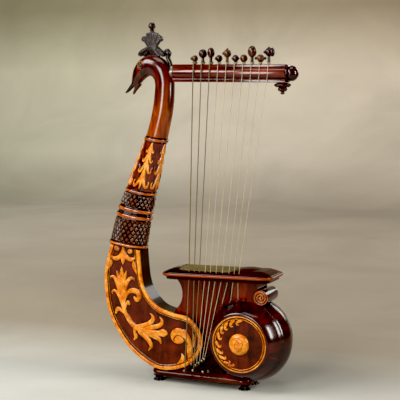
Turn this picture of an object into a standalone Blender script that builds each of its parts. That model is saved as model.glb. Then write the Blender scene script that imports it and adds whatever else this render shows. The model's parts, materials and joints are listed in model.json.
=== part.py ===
"""Arched swan-neck lyre: carved arm, turned neck, crossbar with ten tuning pegs, soundbox and drum.

The frame is +Z up, +X towards the free end of the crossbar, -Y towards the player's side.
The origin is the middle of the floor box, so the feet stand on Z = 0.
Lengths in this file are millimetres; MM turns them into Blender's metres.
"""
import math

import bmesh
import bpy
from mathutils import Matrix, Vector

MM = 0.001
GAP = 0.3                 # clearance kept between touching pieces

# Driving dimensions
HALF_LENGTH = 198.8       # half of the overall length along X
NECK_Y = -20.0            # plane of the arm, the neck, the head and the crossbar
ARM_THICK = 42.0          # thickness of the carved arm
ARM_FRONT = NECK_Y - ARM_THICK / 2
BOX_HALF = 27.0           # half depth of the soundbox over its panels
PANEL_THICK = 5.0
BOX_BOTTOM = 29.0
BOX_TOP = 208.7
BOX_RIGHT = 123.0
HOLLOW_X, HOLLOW_Z, HOLLOW_RADIUS = -74.4, 177.0, 41.4   # arc of the soundbox's concave left side
HOLLOW_SPREAD = 50.0      # degrees of that arc above and below its middle
BOX_SHOULDER_X = HOLLOW_X + HOLLOW_RADIUS * math.cos(math.radians(HOLLOW_SPREAD))
PLATE_LEFT, PLATE_RIGHT = -71.0, 159.5
PLATE_Y, PLATE_HALF = -10.0, 47.0  # middle and half depth of the top plate, which overhangs in front
PLATE_CORNER = 24.0
PLATE_SLOPE = 0.022       # the plate rises a little towards the drum's side
BED_LEFT, BED_RIGHT, BED_HALF, BED_CORNER = -38.0, 80.0, 32.5, 16.0   # bed of the woven panel in the plate
DRUM_X, DRUM_Z = 99.5, 96.0
DRUM_RADIUS = 84.0
BOSS_RADIUS, BOSS_RISE = 20.0, 10.0
FOOT_HEIGHT = 12.0
FEET_X = (-85.0, 97.0)
FOOT_Y = 24.0
BAR_Z = 605.3
BAR_LEFT, BAR_RIGHT = -53.0, 178.0
BAR_HALF_DEPTH, BAR_HALF_HEIGHT = 15.5, 12.6
STRIP_HALF_WIDTH, STRIP_REACH = 12.0, 16.7
STRING_COUNT = 10
STRING_FIRST_X, STRING_PITCH = -5.8, 16.72
STRING_RADII = (0.8, 0.7, 0.65, 0.45, 0.45, 0.42, 0.4, 0.4, 0.38, 0.36)
HOLE_X = (-10.1, 0.8, 11.4, 23.3, 34.0, 45.7, 58.4, 71.8, 82.2, 91.7)   # string holes in the top plate
PEG_STEM = 2.6
PEG_SIDE = 3.4            # the string leaves its peg this far to the peg's right
PEG_DEPTH = 21.0
LOW_HEAD, HIGH_HEAD = 11.0, 22.0   # heights of the peg heads above the bar
HOLE_Y = -46.5            # row of string holes through the top plate
PIN_Y = -58.0             # where the strings meet their hitch pins
TREBLE_PIN_Y = -41.5      # the same for the three treble strings
HEAD_X, HEAD_Z = -100.0, 620.0     # middle of the swan's crown
HEAD_RADIUS = 21.0
VOLUTE_X, VOLUTE_Z, VOLUTE_RADIUS = 130.9, 182.3, 14.4

# Outline of the carved arm in X and Z, clockwise from its upper left corner
ARM_OUTLINE = (
    (-184, 268.2), (-196.5, 222), (-198.2, 183), (-187, 125), (-148, 65.5), (-94.5, 29.5), (-54.5, 25.5),
    (-14, 40), (12, 70), (14, 100), (-10, 132), (-46, 140.6), (-78, 150), (-101.7, 173), (-114, 202),
    (-119.8, 259.2))

# Middle line of the neck in X and Z, from the lower ring to the head
NECK_LINE = ((-157, 250), (-153, 270), (-137.5, 335), (-111.5, 414), (-91, 478), (-77, 535), (-72.5, 582),
             (-73, 600))

# Middle line of the head with its half width in the XZ plane and its half depth in Y
HEAD_STATIONS = (
    (-72.5, 582.3, 19.0, 18.5), (-75.5, 600, 20.0, 18.5), (-86, 614.5, 21.0, 18.0), (-100, 620, 21.0, 17.5),
    (-114, 615.5, 19.5, 17.0), (-124, 605.5, 16.5, 15.0), (-131, 594, 12.0, 12.0), (-136, 585.5, 8.5, 9.5))

# Hitch pins of the block in X and Z; the first seven are in string order
BLOCK_PINS = ((-13.5, 34), (2, 49), (5, 36.5), (11, 47.5), (17.5, 52.5), (23.5, 57.5), (28.5, 61.5),
              (26, 36), (37.5, 38.5))
RAIL_RADIUS = 80.3        # the treble rail's arc around the drum's axis
TREBLE_PIN_ANGLES = (122, 108, 97)

COLOURS = {
    "mahogany": ((0.13, 0.028, 0.012), 0.25, 0.0),
    "dark_wood": ((0.035, 0.012, 0.008), 0.22, 0.0),
    "gilded_wood": ((0.62, 0.26, 0.05), 0.35, 0.0),
    "red_panel": ((0.17, 0.045, 0.018), 0.3, 0.0),
    "woven_mesh": ((0.20, 0.16, 0.07), 0.7, 0.0),
    "gut": ((0.42, 0.36, 0.22), 0.5, 0.0),
}


def clear_scene():
    for old in list(bpy.data.objects):
        bpy.data.objects.remove(old, do_unlink=True)


def new_collection(name):
    collection = bpy.data.collections.new(name)
    bpy.context.scene.collection.children.link(collection)
    return collection


def make_material(name):
    colour, roughness, metallic = COLOURS[name]
    material = bpy.data.materials.new(name)
    material.use_nodes = True
    shader = material.node_tree.nodes["Principled BSDF"]
    shader.inputs["Base Color"].default_value = (*colour, 1.0)
    shader.inputs["Roughness"].default_value = roughness
    shader.inputs["Metallic"].default_value = metallic
    return material


clear_scene()
PARTS = new_collection("lyre")
CUTTERS = new_collection("cutters")
MATERIALS = {name: make_material(name) for name in COLOURS}


def place(name, data, material):
    """Link a new object; one without a material is a cutter."""
    piece = bpy.data.objects.new(name, data)
    if material:
        data.materials.append(MATERIALS[material])
        PARTS.objects.link(piece)
    else:
        CUTTERS.objects.link(piece)
        piece.hide_render = True
        piece.display_type = "WIRE"
    return piece


def mesh_piece(name, builder, material, smooth=True):
    mesh = bpy.data.meshes.new(name)
    builder.to_mesh(mesh)
    builder.free()
    if smooth:
        mesh.shade_smooth()
        mesh.set_sharp_from_angle(angle=math.radians(35))
    return place(name, mesh, material)


def boolean(piece, tool, operation="DIFFERENCE"):
    modifier = piece.modifiers.new(operation.lower(), "BOOLEAN")
    modifier.object = tool
    modifier.operation = operation
    modifier.solver = "EXACT"
    return piece


def joined(name, pieces, material):
    """Union of several pieces, applied to one mesh under a new name."""
    first = pieces[0]
    for other in pieces[1:]:
        boolean(first, other, "UNION")
    return baked(name, first, material, pieces)


def baked(name, piece, material, used=()):
    """Apply a piece's modifiers into a mesh in world space and drop the pieces it used."""
    bpy.context.view_layer.update()
    evaluated = piece.evaluated_get(bpy.context.evaluated_depsgraph_get())
    mesh = bpy.data.meshes.new_from_object(evaluated)
    mesh.transform(piece.matrix_world)
    builder = bmesh.new()
    builder.from_mesh(mesh)
    bmesh.ops.remove_doubles(builder, verts=builder.verts, dist=1e-6)
    bmesh.ops.recalc_face_normals(builder, faces=builder.faces)
    if builder.calc_volume(signed=True) < 0:
        bmesh.ops.reverse_faces(builder, faces=builder.faces)
    for item in set(used) | {piece}:
        bpy.data.objects.remove(item, do_unlink=True)
    mesh.materials.clear()
    bpy.data.meshes.remove(mesh)
    return mesh_piece(name, builder, material)


def block(name, low, high, material=None):
    """Box between two corners."""
    low, high = Vector(low), Vector(high)
    builder = bmesh.new()
    size = (high - low) * MM
    bmesh.ops.create_cube(builder, size=1.0, matrix=Matrix.Diagonal((*size, 1.0)))
    piece = mesh_piece(name, builder, material, smooth=False)
    piece.location = (low + high) / 2 * MM
    return piece


def ball(name, centre, radii, material=None, segments=8, rings=6):
    builder = bmesh.new()
    scale = Matrix.Diagonal((radii[0] * MM, radii[1] * MM, radii[2] * MM, 1.0))
    bmesh.ops.create_uvsphere(builder, u_segments=segments, v_segments=rings, radius=1.0, matrix=scale)
    piece = mesh_piece(name, builder, material)
    piece.location = Vector(centre) * MM
    return piece


def rod(name, start, end, radius, material=None, tip=None, segments=8):
    """Round bar or cone between two points."""
    start, end = Vector(start), Vector(end)
    builder = bmesh.new()
    turn = (end - start).to_track_quat("Z", "Y").to_matrix().to_4x4()
    bmesh.ops.create_cone(
        builder, cap_ends=True, segments=segments, radius1=radius * MM,
        radius2=(radius if tip is None else tip) * MM, depth=(end - start).length * MM, matrix=turn)
    piece = mesh_piece(name, builder, material)
    piece.location = (start + end) / 2 * MM
    return piece


def turned(name, profile, centre, axis, material=None, steps=24, closed=False):
    """Solid of revolution: profile pairs are (radius, height), from the top of the axis downwards."""
    mesh = bpy.data.meshes.new(name)
    points = [(radius * MM, 0.0, height * MM) for radius, height in profile]
    edges = [(i, i + 1) for i in range(len(points) - 1)]
    if closed:
        edges.append((len(points) - 1, 0))
    mesh.from_pydata(points, edges, [])
    piece = place(name, mesh, material)
    screw = piece.modifiers.new("turn", "SCREW")
    screw.axis = "Z"
    screw.steps = screw.render_steps = steps
    screw.use_merge_vertices = True
    screw.merge_threshold = 1e-6
    screw.use_smooth_shade = True
    piece.location = Vector(centre) * MM
    piece.rotation_euler = {"Z": (0, 0, 0), "X": (0, math.pi / 2, 0), "Y": (math.pi / 2, 0, 0)}[axis]
    return piece


def outline(name, points, y_front, y_back, material=None, corners=(), bevel=0.0, grow=0.0, detail=3):
    """Flat board in the XZ plane: a smooth closed outline with sharp corners at the listed points."""
    curve = bpy.data.curves.new(name, "CURVE")
    curve.dimensions = "2D"
    curve.fill_mode = "BOTH"
    curve.extrude = (y_back - y_front) / 2 * MM
    curve.resolution_u = detail
    curve.render_resolution_u = 0
    curve.offset = grow * MM
    spline = curve.splines.new("BEZIER")
    spline.use_cyclic_u = True
    spline.bezier_points.add(len(points) - 1)
    for index, (x, z) in enumerate(points):
        knot = spline.bezier_points[index]
        knot.co = (x * MM, z * MM, 0)
        kind = "VECTOR" if index in corners else "AUTO"
        knot.handle_left_type = knot.handle_right_type = kind
    piece = place(name, curve, None)
    piece.location = (0, (y_front + y_back) / 2 * MM, 0)
    piece.rotation_euler = (math.pi / 2, 0, 0)
    solid = baked(name + "_solid", piece, material)
    solid.name = name
    if bevel:
        rounding = solid.modifiers.new("edges", "BEVEL")
        rounding.width = bevel * MM
        rounding.segments = 2
        rounding.limit_method = "ANGLE"
        rounding.angle_limit = math.radians(60)
    return solid


def loft(name, rings, material=None):
    """Closed skin over a list of rings with the same number of points."""
    builder = bmesh.new()
    loops = [[builder.verts.new(Vector(point) * MM) for point in ring] for ring in rings]
    count = len(loops[0])
    for lower, upper in zip(loops, loops[1:]):
        for i in range(count):
            j = (i + 1) % count
            builder.faces.new((lower[i], lower[j], upper[j], upper[i]))
    builder.faces.new(loops[0][::-1])
    builder.faces.new(loops[-1])
    bmesh.ops.recalc_face_normals(builder, faces=builder.faces)
    return mesh_piece(name, builder, material)


def smooth_line(points, position):
    """Point on the Catmull-Rom curve through points; position runs from 1 to len(points) - 2."""
    index = min(max(int(position), 1), len(points) - 3)
    t = position - index
    a, b, c, d = (Vector(points[index + k]) for k in (-1, 0, 1, 2))
    return 0.5 * (2 * b + (c - a) * t + (2 * a - 5 * b + 4 * c - d) * t * t + (3 * b - a - 3 * c + d) * t ** 3)


SECTION_LEAN = 0.55       # the neck's joints lean this share of its own slope


def neck_point(height):
    """Middle of the neck at a height, with its direction in the XZ plane."""
    low, high = 1.0, float(len(NECK_LINE) - 2)
    for _ in range(30):
        middle = (low + high) / 2
        if smooth_line(NECK_LINE, middle).y < height:
            low = middle
        else:
            high = middle
    step = 0.02
    point = smooth_line(NECK_LINE, low)
    ahead = smooth_line(NECK_LINE, min(low + step, len(NECK_LINE) - 2 - 1e-6))
    behind = smooth_line(NECK_LINE, max(low - step, 1.0))
    return point, (ahead - behind).normalized()


def oval(point, direction, half_width, half_depth, count=24):
    """Ring of points around a middle line, square to a direction in the XZ plane."""
    side = Vector((direction.y, -direction.x))
    ring = []
    for k in range(count):
        angle = 2 * math.pi * k / count
        x = point.x + side.x * half_width * math.cos(angle)
        z = point.y + side.y * half_width * math.cos(angle)
        ring.append((x, NECK_Y + half_depth * math.sin(angle), z))
    return ring


def neck_section(name, stations, material):
    """Length of the neck over (height, half width, half depth) stations."""
    rings = []
    for height, half_width, half_depth in stations:
        point, direction = neck_point(height)
        lean = Vector((direction.x * SECTION_LEAN, direction.y)).normalized()
        rings.append(oval(point, lean, half_width, half_depth))
    return loft(name, rings, material)


def neck_ring(name, height, thickness, half_width, half_depth, material):
    """Half-round band around the neck."""
    stations = []
    for k in range(4):
        angle = math.pi * (k / 3 - 0.5)
        swell = 3.0 * (math.cos(angle) - 1)
        stations.append((height + thickness / 2 * math.sin(angle), half_width + swell, half_depth + swell))
    return neck_section(name, stations, material)


def rounded_box(left, right, half_depth, corner, z, inset=0.0, count=5):
    """Ring of a rectangle with round corners at one height."""
    left, right, half_depth = left + inset, right - inset, half_depth - inset
    corner = max(corner - inset, 2.0)
    centres = ((right - corner, half_depth - corner, 0), (left + corner, half_depth - corner, 90),
               (left + corner, corner - half_depth, 180), (right - corner, corner - half_depth, 270))
    ring = []
    for x, y, first in centres:
        for k in range(count):
            angle = math.radians(first + 90 * k / (count - 1))
            ring.append((x + corner * math.cos(angle), y + corner * math.sin(angle), z))
    return ring


def drum_profile(grow=0.0):
    """Outer profile of the drum from its back rim to its front rim, as (radius, height) pairs."""
    half = ((57.0, 60.0), (61.5, 57.0), (66.5, 49.0), (72.0, 38.0), (76.3, 29.0), (76.0, 26.0), (80.5, 16.0))
    back = [(r + grow, h + grow * (h > 59)) for r, h in half]
    front = [(r, -h) for r, h in reversed(back)]
    return back + [(DRUM_RADIUS + grow, 0.0)] + front


def drum_cutter():
    profile = [(0.0, 80.0), (57.0, 80.0)] + drum_profile(GAP) + [(57.0, -80.0), (0.0, -80.0)]
    return turned("cut_drum", profile, (DRUM_X, 0, DRUM_Z), "Y", steps=36)


def box_top(x):
    """Height of the soundbox's sloping top edge."""
    return BOX_TOP + PLATE_SLOPE * (x - BOX_SHOULDER_X)


def box_outline():
    """Outline of the soundbox: concave left side, straight right side, open corner at the drum."""
    points = []
    for k in range(7):
        angle = math.radians(HOLLOW_SPREAD - 2 * HOLLOW_SPREAD * k / 6)
        points.append((HOLLOW_X + HOLLOW_RADIUS * math.cos(angle), HOLLOW_Z + HOLLOW_RADIUS * math.sin(angle)))
    return points + [(-60, 100), (-66, BOX_BOTTOM), (DRUM_X, BOX_BOTTOM), (BOX_RIGHT, DRUM_Z),
                     (BOX_RIGHT, box_top(BOX_RIGHT))]


BOX_CORNERS = (0, 6, 7, 8, 9, 10, 11)


def plinth_rings(grow=0.0):
    levels = ((FOOT_HEIGHT, -90, 38), (15, -95, 41), (19, -97, 42), (22.5, -97, 40), (26, -95, 34),
              (BOX_BOTTOM - GAP, -92, 31))
    return [rounded_box(left - grow, 112 + grow, half + grow, 18, z + grow * (z > 28)) for z, left, half in levels]


def build_cutters():
    tools = {"drum": drum_cutter()}
    tools["volute"] = rod("cut_volute", (VOLUTE_X, -40, VOLUTE_Z), (VOLUTE_X, 40, VOLUTE_Z),
                          VOLUTE_RADIUS + GAP, segments=24)
    tools["box"] = outline("cut_box", box_outline(), -BOX_HALF - GAP, BOX_HALF + 5, corners=BOX_CORNERS, grow=GAP)
    tools["plinth"] = loft("cut_plinth", plinth_rings(GAP))
    tools["arm"] = outline("cut_arm", ARM_OUTLINE, ARM_FRONT - 5, 10, corners=(0, 15), grow=GAP)
    return tools


def build_arm(tools):
    arm = outline("carved_arm", ARM_OUTLINE, ARM_FRONT, ARM_FRONT + ARM_THICK, "mahogany", corners=(0, 15),
                  bevel=2.0)
    boolean(arm, tools["box"])
    boolean(arm, tools["plinth"])
    return arm


def build_neck():
    neck_ring("neck_ring_lower", 268.5, 8.0, 42.0, 27.0, "gilded_wood")
    neck_section("diamond_sleeve_lower", ((273, 38.5, 25), (296, 37.5, 24.5), (318, 36.0, 24)), "dark_wood")
    neck_ring("neck_ring_middle_lower", 325, 12.0, 38.5, 27.0, "gilded_wood")
    neck_ring("neck_ring_middle_upper", 338, 12.0, 37.5, 26.5, "gilded_wood")
    neck_section("diamond_sleeve_upper", ((344.5, 34.5, 24.5), (357, 33.0, 24), (369, 31.5, 23.5)), "dark_wood")
    neck_ring("neck_ring_upper", 374, 8.5, 33.0, 26.0, "gilded_wood")
    neck_section("leaf_section", ((379, 31.0, 25), (402, 29.0, 24), (428, 26.5, 23), (452, 24.0, 22.5),
                                  (472, 22.2, 22)), "mahogany")
    neck_ring("neck_collar", 477, 9.0, 23.8, 23.5, "gilded_wood")
    neck_section("neck_shaft", ((482.3, 21.2, 21), (505, 20.4, 20.2), (530, 20.2, 19.6), (556, 19.8, 19),
                                (581.8, 19.0, 18.5)), "mahogany")


def head_rings():
    rings = []
    for index, (x, z, half_width, half_depth) in enumerate(HEAD_STATIONS):
        before = HEAD_STATIONS[max(index - 1, 0)]
        after = HEAD_STATIONS[min(index + 1, len(HEAD_STATIONS) - 1)]
        direction = Vector((after[0] - before[0], after[1] - before[1])).normalized()
        if index == 0:
            slope = neck_point(581.8)[1]
            direction = Vector((slope.x * SECTION_LEAN, slope.y)).normalized()
        rings.append(oval(Vector((x, z)), direction, half_width, half_depth, count=24))
    return rings


def build_head():
    skull = loft("skull", head_rings())
    upper_bill = rod("upper_bill", (-134, NECK_Y, 588), (-156.5, NECK_Y, 567.5), 7.0, tip=1.8)
    lower_bill = rod("lower_bill", (-132, NECK_Y, 583), (-140.5, NECK_Y, 564), 5.0, tip=1.6)
    eyes = [ball("eye", (-125, NECK_Y + side * 14.0, 617), (4.5, 3.0, 4.5)) for side in (-1, 1)]
    head = joined("swan_head", [skull, upper_bill, lower_bill, *eyes], "mahogany")
    socket = rod("cut_socket", (-82, NECK_Y, BAR_Z), (-40, NECK_Y, BAR_Z), 8 + GAP, segments=20)
    boolean(head, socket)
    mouth = rod("cut_socket_mouth", (BAR_LEFT - 9 - GAP, NECK_Y, BAR_Z), (-40, NECK_Y, BAR_Z), 12 + GAP, segments=20)
    boolean(head, mouth)
    return head


def build_crest():
    """Palmette on the crown, its ball and the scroll behind it."""
    crown = HEAD_RADIUS + 0.8
    foot = []
    for degrees in (130, 110, 90, 70, 48):
        angle = math.radians(degrees)
        foot.append((HEAD_X + crown * math.cos(angle), HEAD_Z + crown * math.sin(angle)))
    upper = [(-77, 648), (-81, 656), (-84, 662), (-78.5, 669), (-76, 675.5), (-82, 680), (-90, 684.5),
             (-95, 686.6), (-105, 686.6), (-109.5, 683), (-117, 674.5), (-114, 667), (-108.5, 660),
             (-111, 653.5), (-125, 646)]
    last = len(foot) + len(upper) - 1
    outline("crest", foot + upper, NECK_Y - 11, NECK_Y + 11, "dark_wood", corners=(0, 4, last), bevel=2.0, detail=2)
    turned("crest_finial", ((0, 702.5), (4.2, 701), (6.6, 697.5), (7.0, 695), (6.4, 692.2), (4.0, 690.2),
                            (4.6, 689.5), (4.6, 688.6), (0, 688.6)), (HEAD_X, NECK_Y, 0), "Z", "dark_wood", steps=16)
    stalk = rod("stalk", (-59.6, NECK_Y, 618.2), (-63, NECK_Y, 640), 3.6, tip=3.4)
    knob = ball("knob", (-63.5, NECK_Y, 643.5), (6.2, 8.0, 6.2))
    joined("crest_scroll", [stalk, knob], "dark_wood")


def string_x(index):
    return STRING_FIRST_X + STRING_PITCH * index


def peg_x(index):
    return string_x(index) - PEG_SIDE


def build_crossbar():
    bar_top = BAR_Z + STRIP_REACH
    body = rod("body", (BAR_LEFT, NECK_Y, BAR_Z), (BAR_RIGHT, NECK_Y, BAR_Z), BAR_HALF_DEPTH, segments=28)
    body.data.transform(Matrix.Diagonal((1, 1, BAR_HALF_HEIGHT / BAR_HALF_DEPTH, 1)))
    strips = [block("strip", (BAR_LEFT + 5, NECK_Y - STRIP_HALF_WIDTH, BAR_Z + low),
                    (BAR_RIGHT, NECK_Y + STRIP_HALF_WIDTH, BAR_Z + high))
              for low, high in ((10, STRIP_REACH), (-STRIP_REACH, -10))]
    cone = rod("cone", (BAR_LEFT - 9, NECK_Y, BAR_Z), (BAR_LEFT + 1, NECK_Y, BAR_Z), 8, tip=12, segments=20)
    tenon = rod("tenon", (-80, NECK_Y, BAR_Z), (BAR_LEFT - 2, NECK_Y, BAR_Z), 8, segments=20)
    bar = joined("crossbar", [body, *strips, cone, tenon], "mahogany")
    for index in range(STRING_COUNT):
        hole = rod("cut_peg_hole_%d" % (index + 1), (peg_x(index), NECK_Y, bar_top - PEG_DEPTH),
                   (peg_x(index), NECK_Y, bar_top + 5), PEG_STEM + GAP)
        boolean(bar, hole)
    turned("bar_end_knob", ((0, HALF_LENGTH), (5.6, 198), (10.2, 195), (13.4, 190.5), (14.4, 185.5),
                            (13.0, 181.5), (16.0, 180.6), (16.4, 179.4), (16.0, BAR_RIGHT + GAP),
                            (0, BAR_RIGHT + GAP)), (0, NECK_Y, BAR_Z), "X", "mahogany", steps=24)
    base = BAR_Z - STRIP_REACH - GAP
    turned("pendant_finial", ((0, base), (9.0, base), (14.5, base - 2), (15.6, base - 4.6), (13.0, base - 7.6),
                              (7.5, base - 9.0), (8.6, base - 11.8), (7.6, base - 14.6), (4.0, base - 16.6),
                              (3.8, base - 19), (2.4, base - 21.2), (0, base - 21.8)),
           (168.5, NECK_Y, 0), "Z", "dark_wood", steps=16)


LOW_PEGS = (0, 3, 5, 6, 8)
CENTRED_PEGS = (5, 6)      # two low neighbours, kept narrow so that each still turns freely


def build_peg(index):
    """Tuning peg: a stem with a cross handle of balls, free to turn about Z."""
    bar_top = BAR_Z + STRIP_REACH
    x = peg_x(index)
    height = bar_top + (LOW_HEAD if index in LOW_PEGS else HIGH_HEAD)
    stem = rod("stem", (0, 0, bar_top - PEG_DEPTH + 0.6 - height), (0, 0, 2), PEG_STEM)
    if index in CENTRED_PEGS:
        parts = [ball("ball", (-1.4, -0.8, 0), (6.4, 6.4, 6.4)), ball("cap", (0.6, 0.4, 6.4), (3.2, 3.2, 3.0))]
    elif index in LOW_PEGS:
        parts = [ball("ball", (-5.0, -3.2, 0), (6.8, 6.8, 6.8)), rod("arm", (-5, -3.2, 0), (7, 4.4, 0), 2.6),
                 ball("lobe", (6.4, 4.0, 0.5), (4.4, 4.4, 4.8))]
    elif index == 7:
        parts = [ball("oval", (0, 0, 4.0), (8.2, 5.0, 11.2), segments=12, rings=8)]
    elif index == 9:
        parts = [ball("disc", (2.4, 1.6, 0), (7.6, 6.0, 8.4)), rod("arm", (0, 0, 0), (-8, -5.2, 0), 2.4),
                 ball("nipple", (-7.4, -4.8, 0), (3.6, 3.6, 3.6))]
    else:
        parts = [ball("ball", (0, 0, 0), (7.4, 7.4, 7.4)), ball("cap", (0, 0, 7.2), (2.6, 2.6, 2.6))]
    peg = joined("tuning_peg_%d" % (index + 1), [stem, *parts], "dark_wood")
    peg.location = Vector((x, NECK_Y, height)) * MM


def drum_point(radius, degrees):
    """Point in X and Z at a radius and an angle around the drum's axis."""
    angle = math.radians(degrees)
    return DRUM_X + radius * math.cos(angle), DRUM_Z + radius * math.sin(angle)


def treble_pins():
    return [drum_point(RAIL_RADIUS, angle) for angle in TREBLE_PIN_ANGLES]


def all_pins():
    return [*BLOCK_PINS[:7], *treble_pins()]


def build_string(index):
    """Taut string: hitch pin, hole in the top plate, front of the crossbar, then round its peg."""
    radius = STRING_RADII[index]
    pin_x, pin_z = all_pins()[index]
    bar_x, bar_top = string_x(index), BAR_Z + STRIP_REACH
    front = NECK_Y - BAR_HALF_DEPTH - radius - GAP
    end_y = PIN_Y if index < 7 else TREBLE_PIN_Y
    hole_x, hole_y, hole_z = string_hole(index)
    edge_y = NECK_Y - STRIP_HALF_WIDTH
    path = [(pin_x, end_y, pin_z + 2.2 + radius), (hole_x, hole_y, hole_z), (bar_x, front, BAR_Z - 2),
            (bar_x, front + 0.2, BAR_Z + 3), (bar_x, edge_y - 0.5 - radius, bar_top + 0.1),
            (bar_x, edge_y + 0.2, bar_top + 0.7 + radius)]
    turns, steps = 0.8, 5
    reach = (PEG_STEM + GAP + radius) / math.cos(math.pi * turns / steps)
    for k in range(steps + 1):
        angle = 2 * math.pi * turns * k / steps
        path.append((peg_x(index) + reach * math.cos(angle), NECK_Y + reach * math.sin(angle),
                     bar_top + 0.9 + radius + 1.6 * k / steps))
    curve = bpy.data.curves.new("string", "CURVE")
    curve.dimensions = "3D"
    curve.bevel_depth = radius * MM
    curve.bevel_resolution = 2
    curve.use_fill_caps = True
    curve.render_resolution_u = 0
    spline = curve.splines.new("POLY")
    spline.points.add(len(path) - 1)
    for point, corner in zip(spline.points, path):
        point.co = (*(Vector(corner) * MM), 1.0)
    place("string_%d" % (index + 1), curve, "gut")


def string_hole(index):
    """Where a string passes the top plate."""
    return HOLE_X[index], HOLE_Y, 217.0


def build_soundbox(tools):
    front, back = -BOX_HALF, BOX_HALF
    for name, near, far in (("front_panel", front, front + PANEL_THICK), ("back_panel", back - PANEL_THICK, back)):
        panel = outline(name, box_outline(), near, far, "red_panel", corners=BOX_CORNERS)
        boolean(panel, tools["drum"])
        boolean(panel, tools["volute"])
    inner = BOX_HALF - PANEL_THICK - GAP
    edge = box_outline()[:9]
    inside = [(x + 4.5, z) for x, z in reversed(edge)]
    corners = (0, 6, 7, 8, 9, 10, 11, 17)
    outline("left_rib", edge + inside, -inner, inner, "red_panel", corners=corners)
    shoulder = outline("shoulder_block", ((96, 198), (96, box_top(96)), (BOX_RIGHT, box_top(BOX_RIGHT)),
                                          (BOX_RIGHT, 198)), -inner, inner, "red_panel", corners=(0, 1, 2, 3))
    boolean(shoulder, tools["volute"])
    block("heel_block", (-40, -inner, BOX_BOTTOM + GAP), (-18, inner, 128), "dark_wood")
    plinth = loft("base_plinth", plinth_rings(), "red_panel")
    boolean(plinth, tools["drum"])
    boolean(plinth, block("cut_cradle", (60, -15, 0), (130, 15, 60)))
    volute = turned("volute_roll", ((0, 30), (VOLUTE_RADIUS - 1.5, 30), (VOLUTE_RADIUS, 28), (VOLUTE_RADIUS, -28),
                                    (VOLUTE_RADIUS - 1.5, -30), (0, -30)),
                    (VOLUTE_X, 0, VOLUTE_Z), "Y", "dark_wood", steps=24)
    boolean(volute, tools["drum"])


# Section of the top plate: distance in from its edge, and height
PLATE_LEVELS = ((8.0, BOX_TOP + GAP), (7.0, 212.5), (4.5, 214.6), (1.2, 216.0), (0.0, 219.0), (1.4, 221.8),
                (8.0, 224.2), (14.0, 226.8), (22.0, 229.4), (32.0, 231.0), (42.0, 231.6))


def vault(y):
    """Height of the plate's domed top across its depth; y is measured from the plate's middle."""
    inset = PLATE_HALF - abs(y)
    for (near, low), (far, high) in zip(PLATE_LEVELS[5:], PLATE_LEVELS[6:]):
        if inset <= far:
            return low + (high - low) * (inset - near) / (far - near)
    return PLATE_LEVELS[-1][1]


def seat_on_box(piece):
    """Move a piece of the plate from the drum's middle plane to the plate's own, on the box's sloping top."""
    for vert in piece.data.vertices:
        vert.co.y += PLATE_Y * MM
        vert.co.z += PLATE_SLOPE * (vert.co.x - BOX_SHOULDER_X * MM)
    return piece


def build_top_plate():
    """Domed plate with a bed for the woven panel, a wooden hump beside it and the string holes."""
    rings = [rounded_box(PLATE_LEFT, PLATE_RIGHT, PLATE_HALF, PLATE_CORNER, z, inset) for inset, z in PLATE_LEVELS]
    hump = ball("hump", (104, 0, 226), (30, 27, 8), segments=20, rings=10)
    body = joined("plate_body", [loft("dome", rings), hump], None)
    bed = loft("cut_bed", [rounded_box(BED_LEFT, BED_RIGHT, BED_HALF, BED_CORNER, z) for z in (221.7, 245)])
    boolean(body, bed)
    plate = seat_on_box(baked("top_plate", body, "dark_wood", (bed,)))
    for index in range(STRING_COUNT):
        x, y, z = string_hole(index)
        slant = (string_x(index) - all_pins()[index][0]) / (BAR_Z - all_pins()[index][1]) * 20
        hole = rod("cut_string_hole_%d" % (index + 1), (x - slant, y, z - 20), (x + slant, y, z + 20), 2.1,
                   segments=6)
        boolean(plate, hole)
    build_woven_panel()


def build_woven_panel():
    """Panel that lies in the plate's bed and follows the dome just below the wood around it."""
    edge = rounded_box(BED_LEFT, BED_RIGHT, BED_HALF, BED_CORNER, 222.1, GAP + 0.1)
    rings = [edge]
    for inset in (0.0, 9.0, 19.0, 29.0):
        ring = rounded_box(BED_LEFT, BED_RIGHT, BED_HALF, BED_CORNER, 0, inset + GAP + 0.1)
        rings.append([(x, y, vault(y) - 0.8) for x, y, _ in ring])
    seat_on_box(loft("woven_panel", rings, "woven_mesh"))


def build_drum():
    bore = [(50.4, -60.0), (50.4, -52.0), (62.0, -40.0), (74.0, 0.0), (62.0, 40.0), (50.4, 52.0), (50.4, 60.0)]
    profile = drum_profile() + bore
    turned("drum_shell", profile, (DRUM_X, 0, DRUM_Z), "Y", "dark_wood", steps=36, closed=True)
    for name, side in (("front", -1), ("back", 1)):
        # The cap fills the shell's mouth: a ring bead, a sunk field, and the seat of the boss
        shape = ((0, 57.2), (46.0, 57.2), (46.4, 59.4), (48.6, 60.6), (50.1, 59.6), (50.1, 53.0), (0, 53.0))
        cap = turned("drum_cap_" + name, shape, (DRUM_X, 0, DRUM_Z), "Y", "gilded_wood", steps=36)
        boss = turned("drum_boss_" + name, ((0, 57.5 + BOSS_RISE), (7, 66.8), (13, 64.6), (17.5, 61.2),
                                            (BOSS_RADIUS, 57.5), (0, 57.5)),
                      (DRUM_X, 0, DRUM_Z), "Y", "gilded_wood", steps=20)
        if side > 0:
            cap.rotation_euler.x = boss.rotation_euler.x = -math.pi / 2


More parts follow.
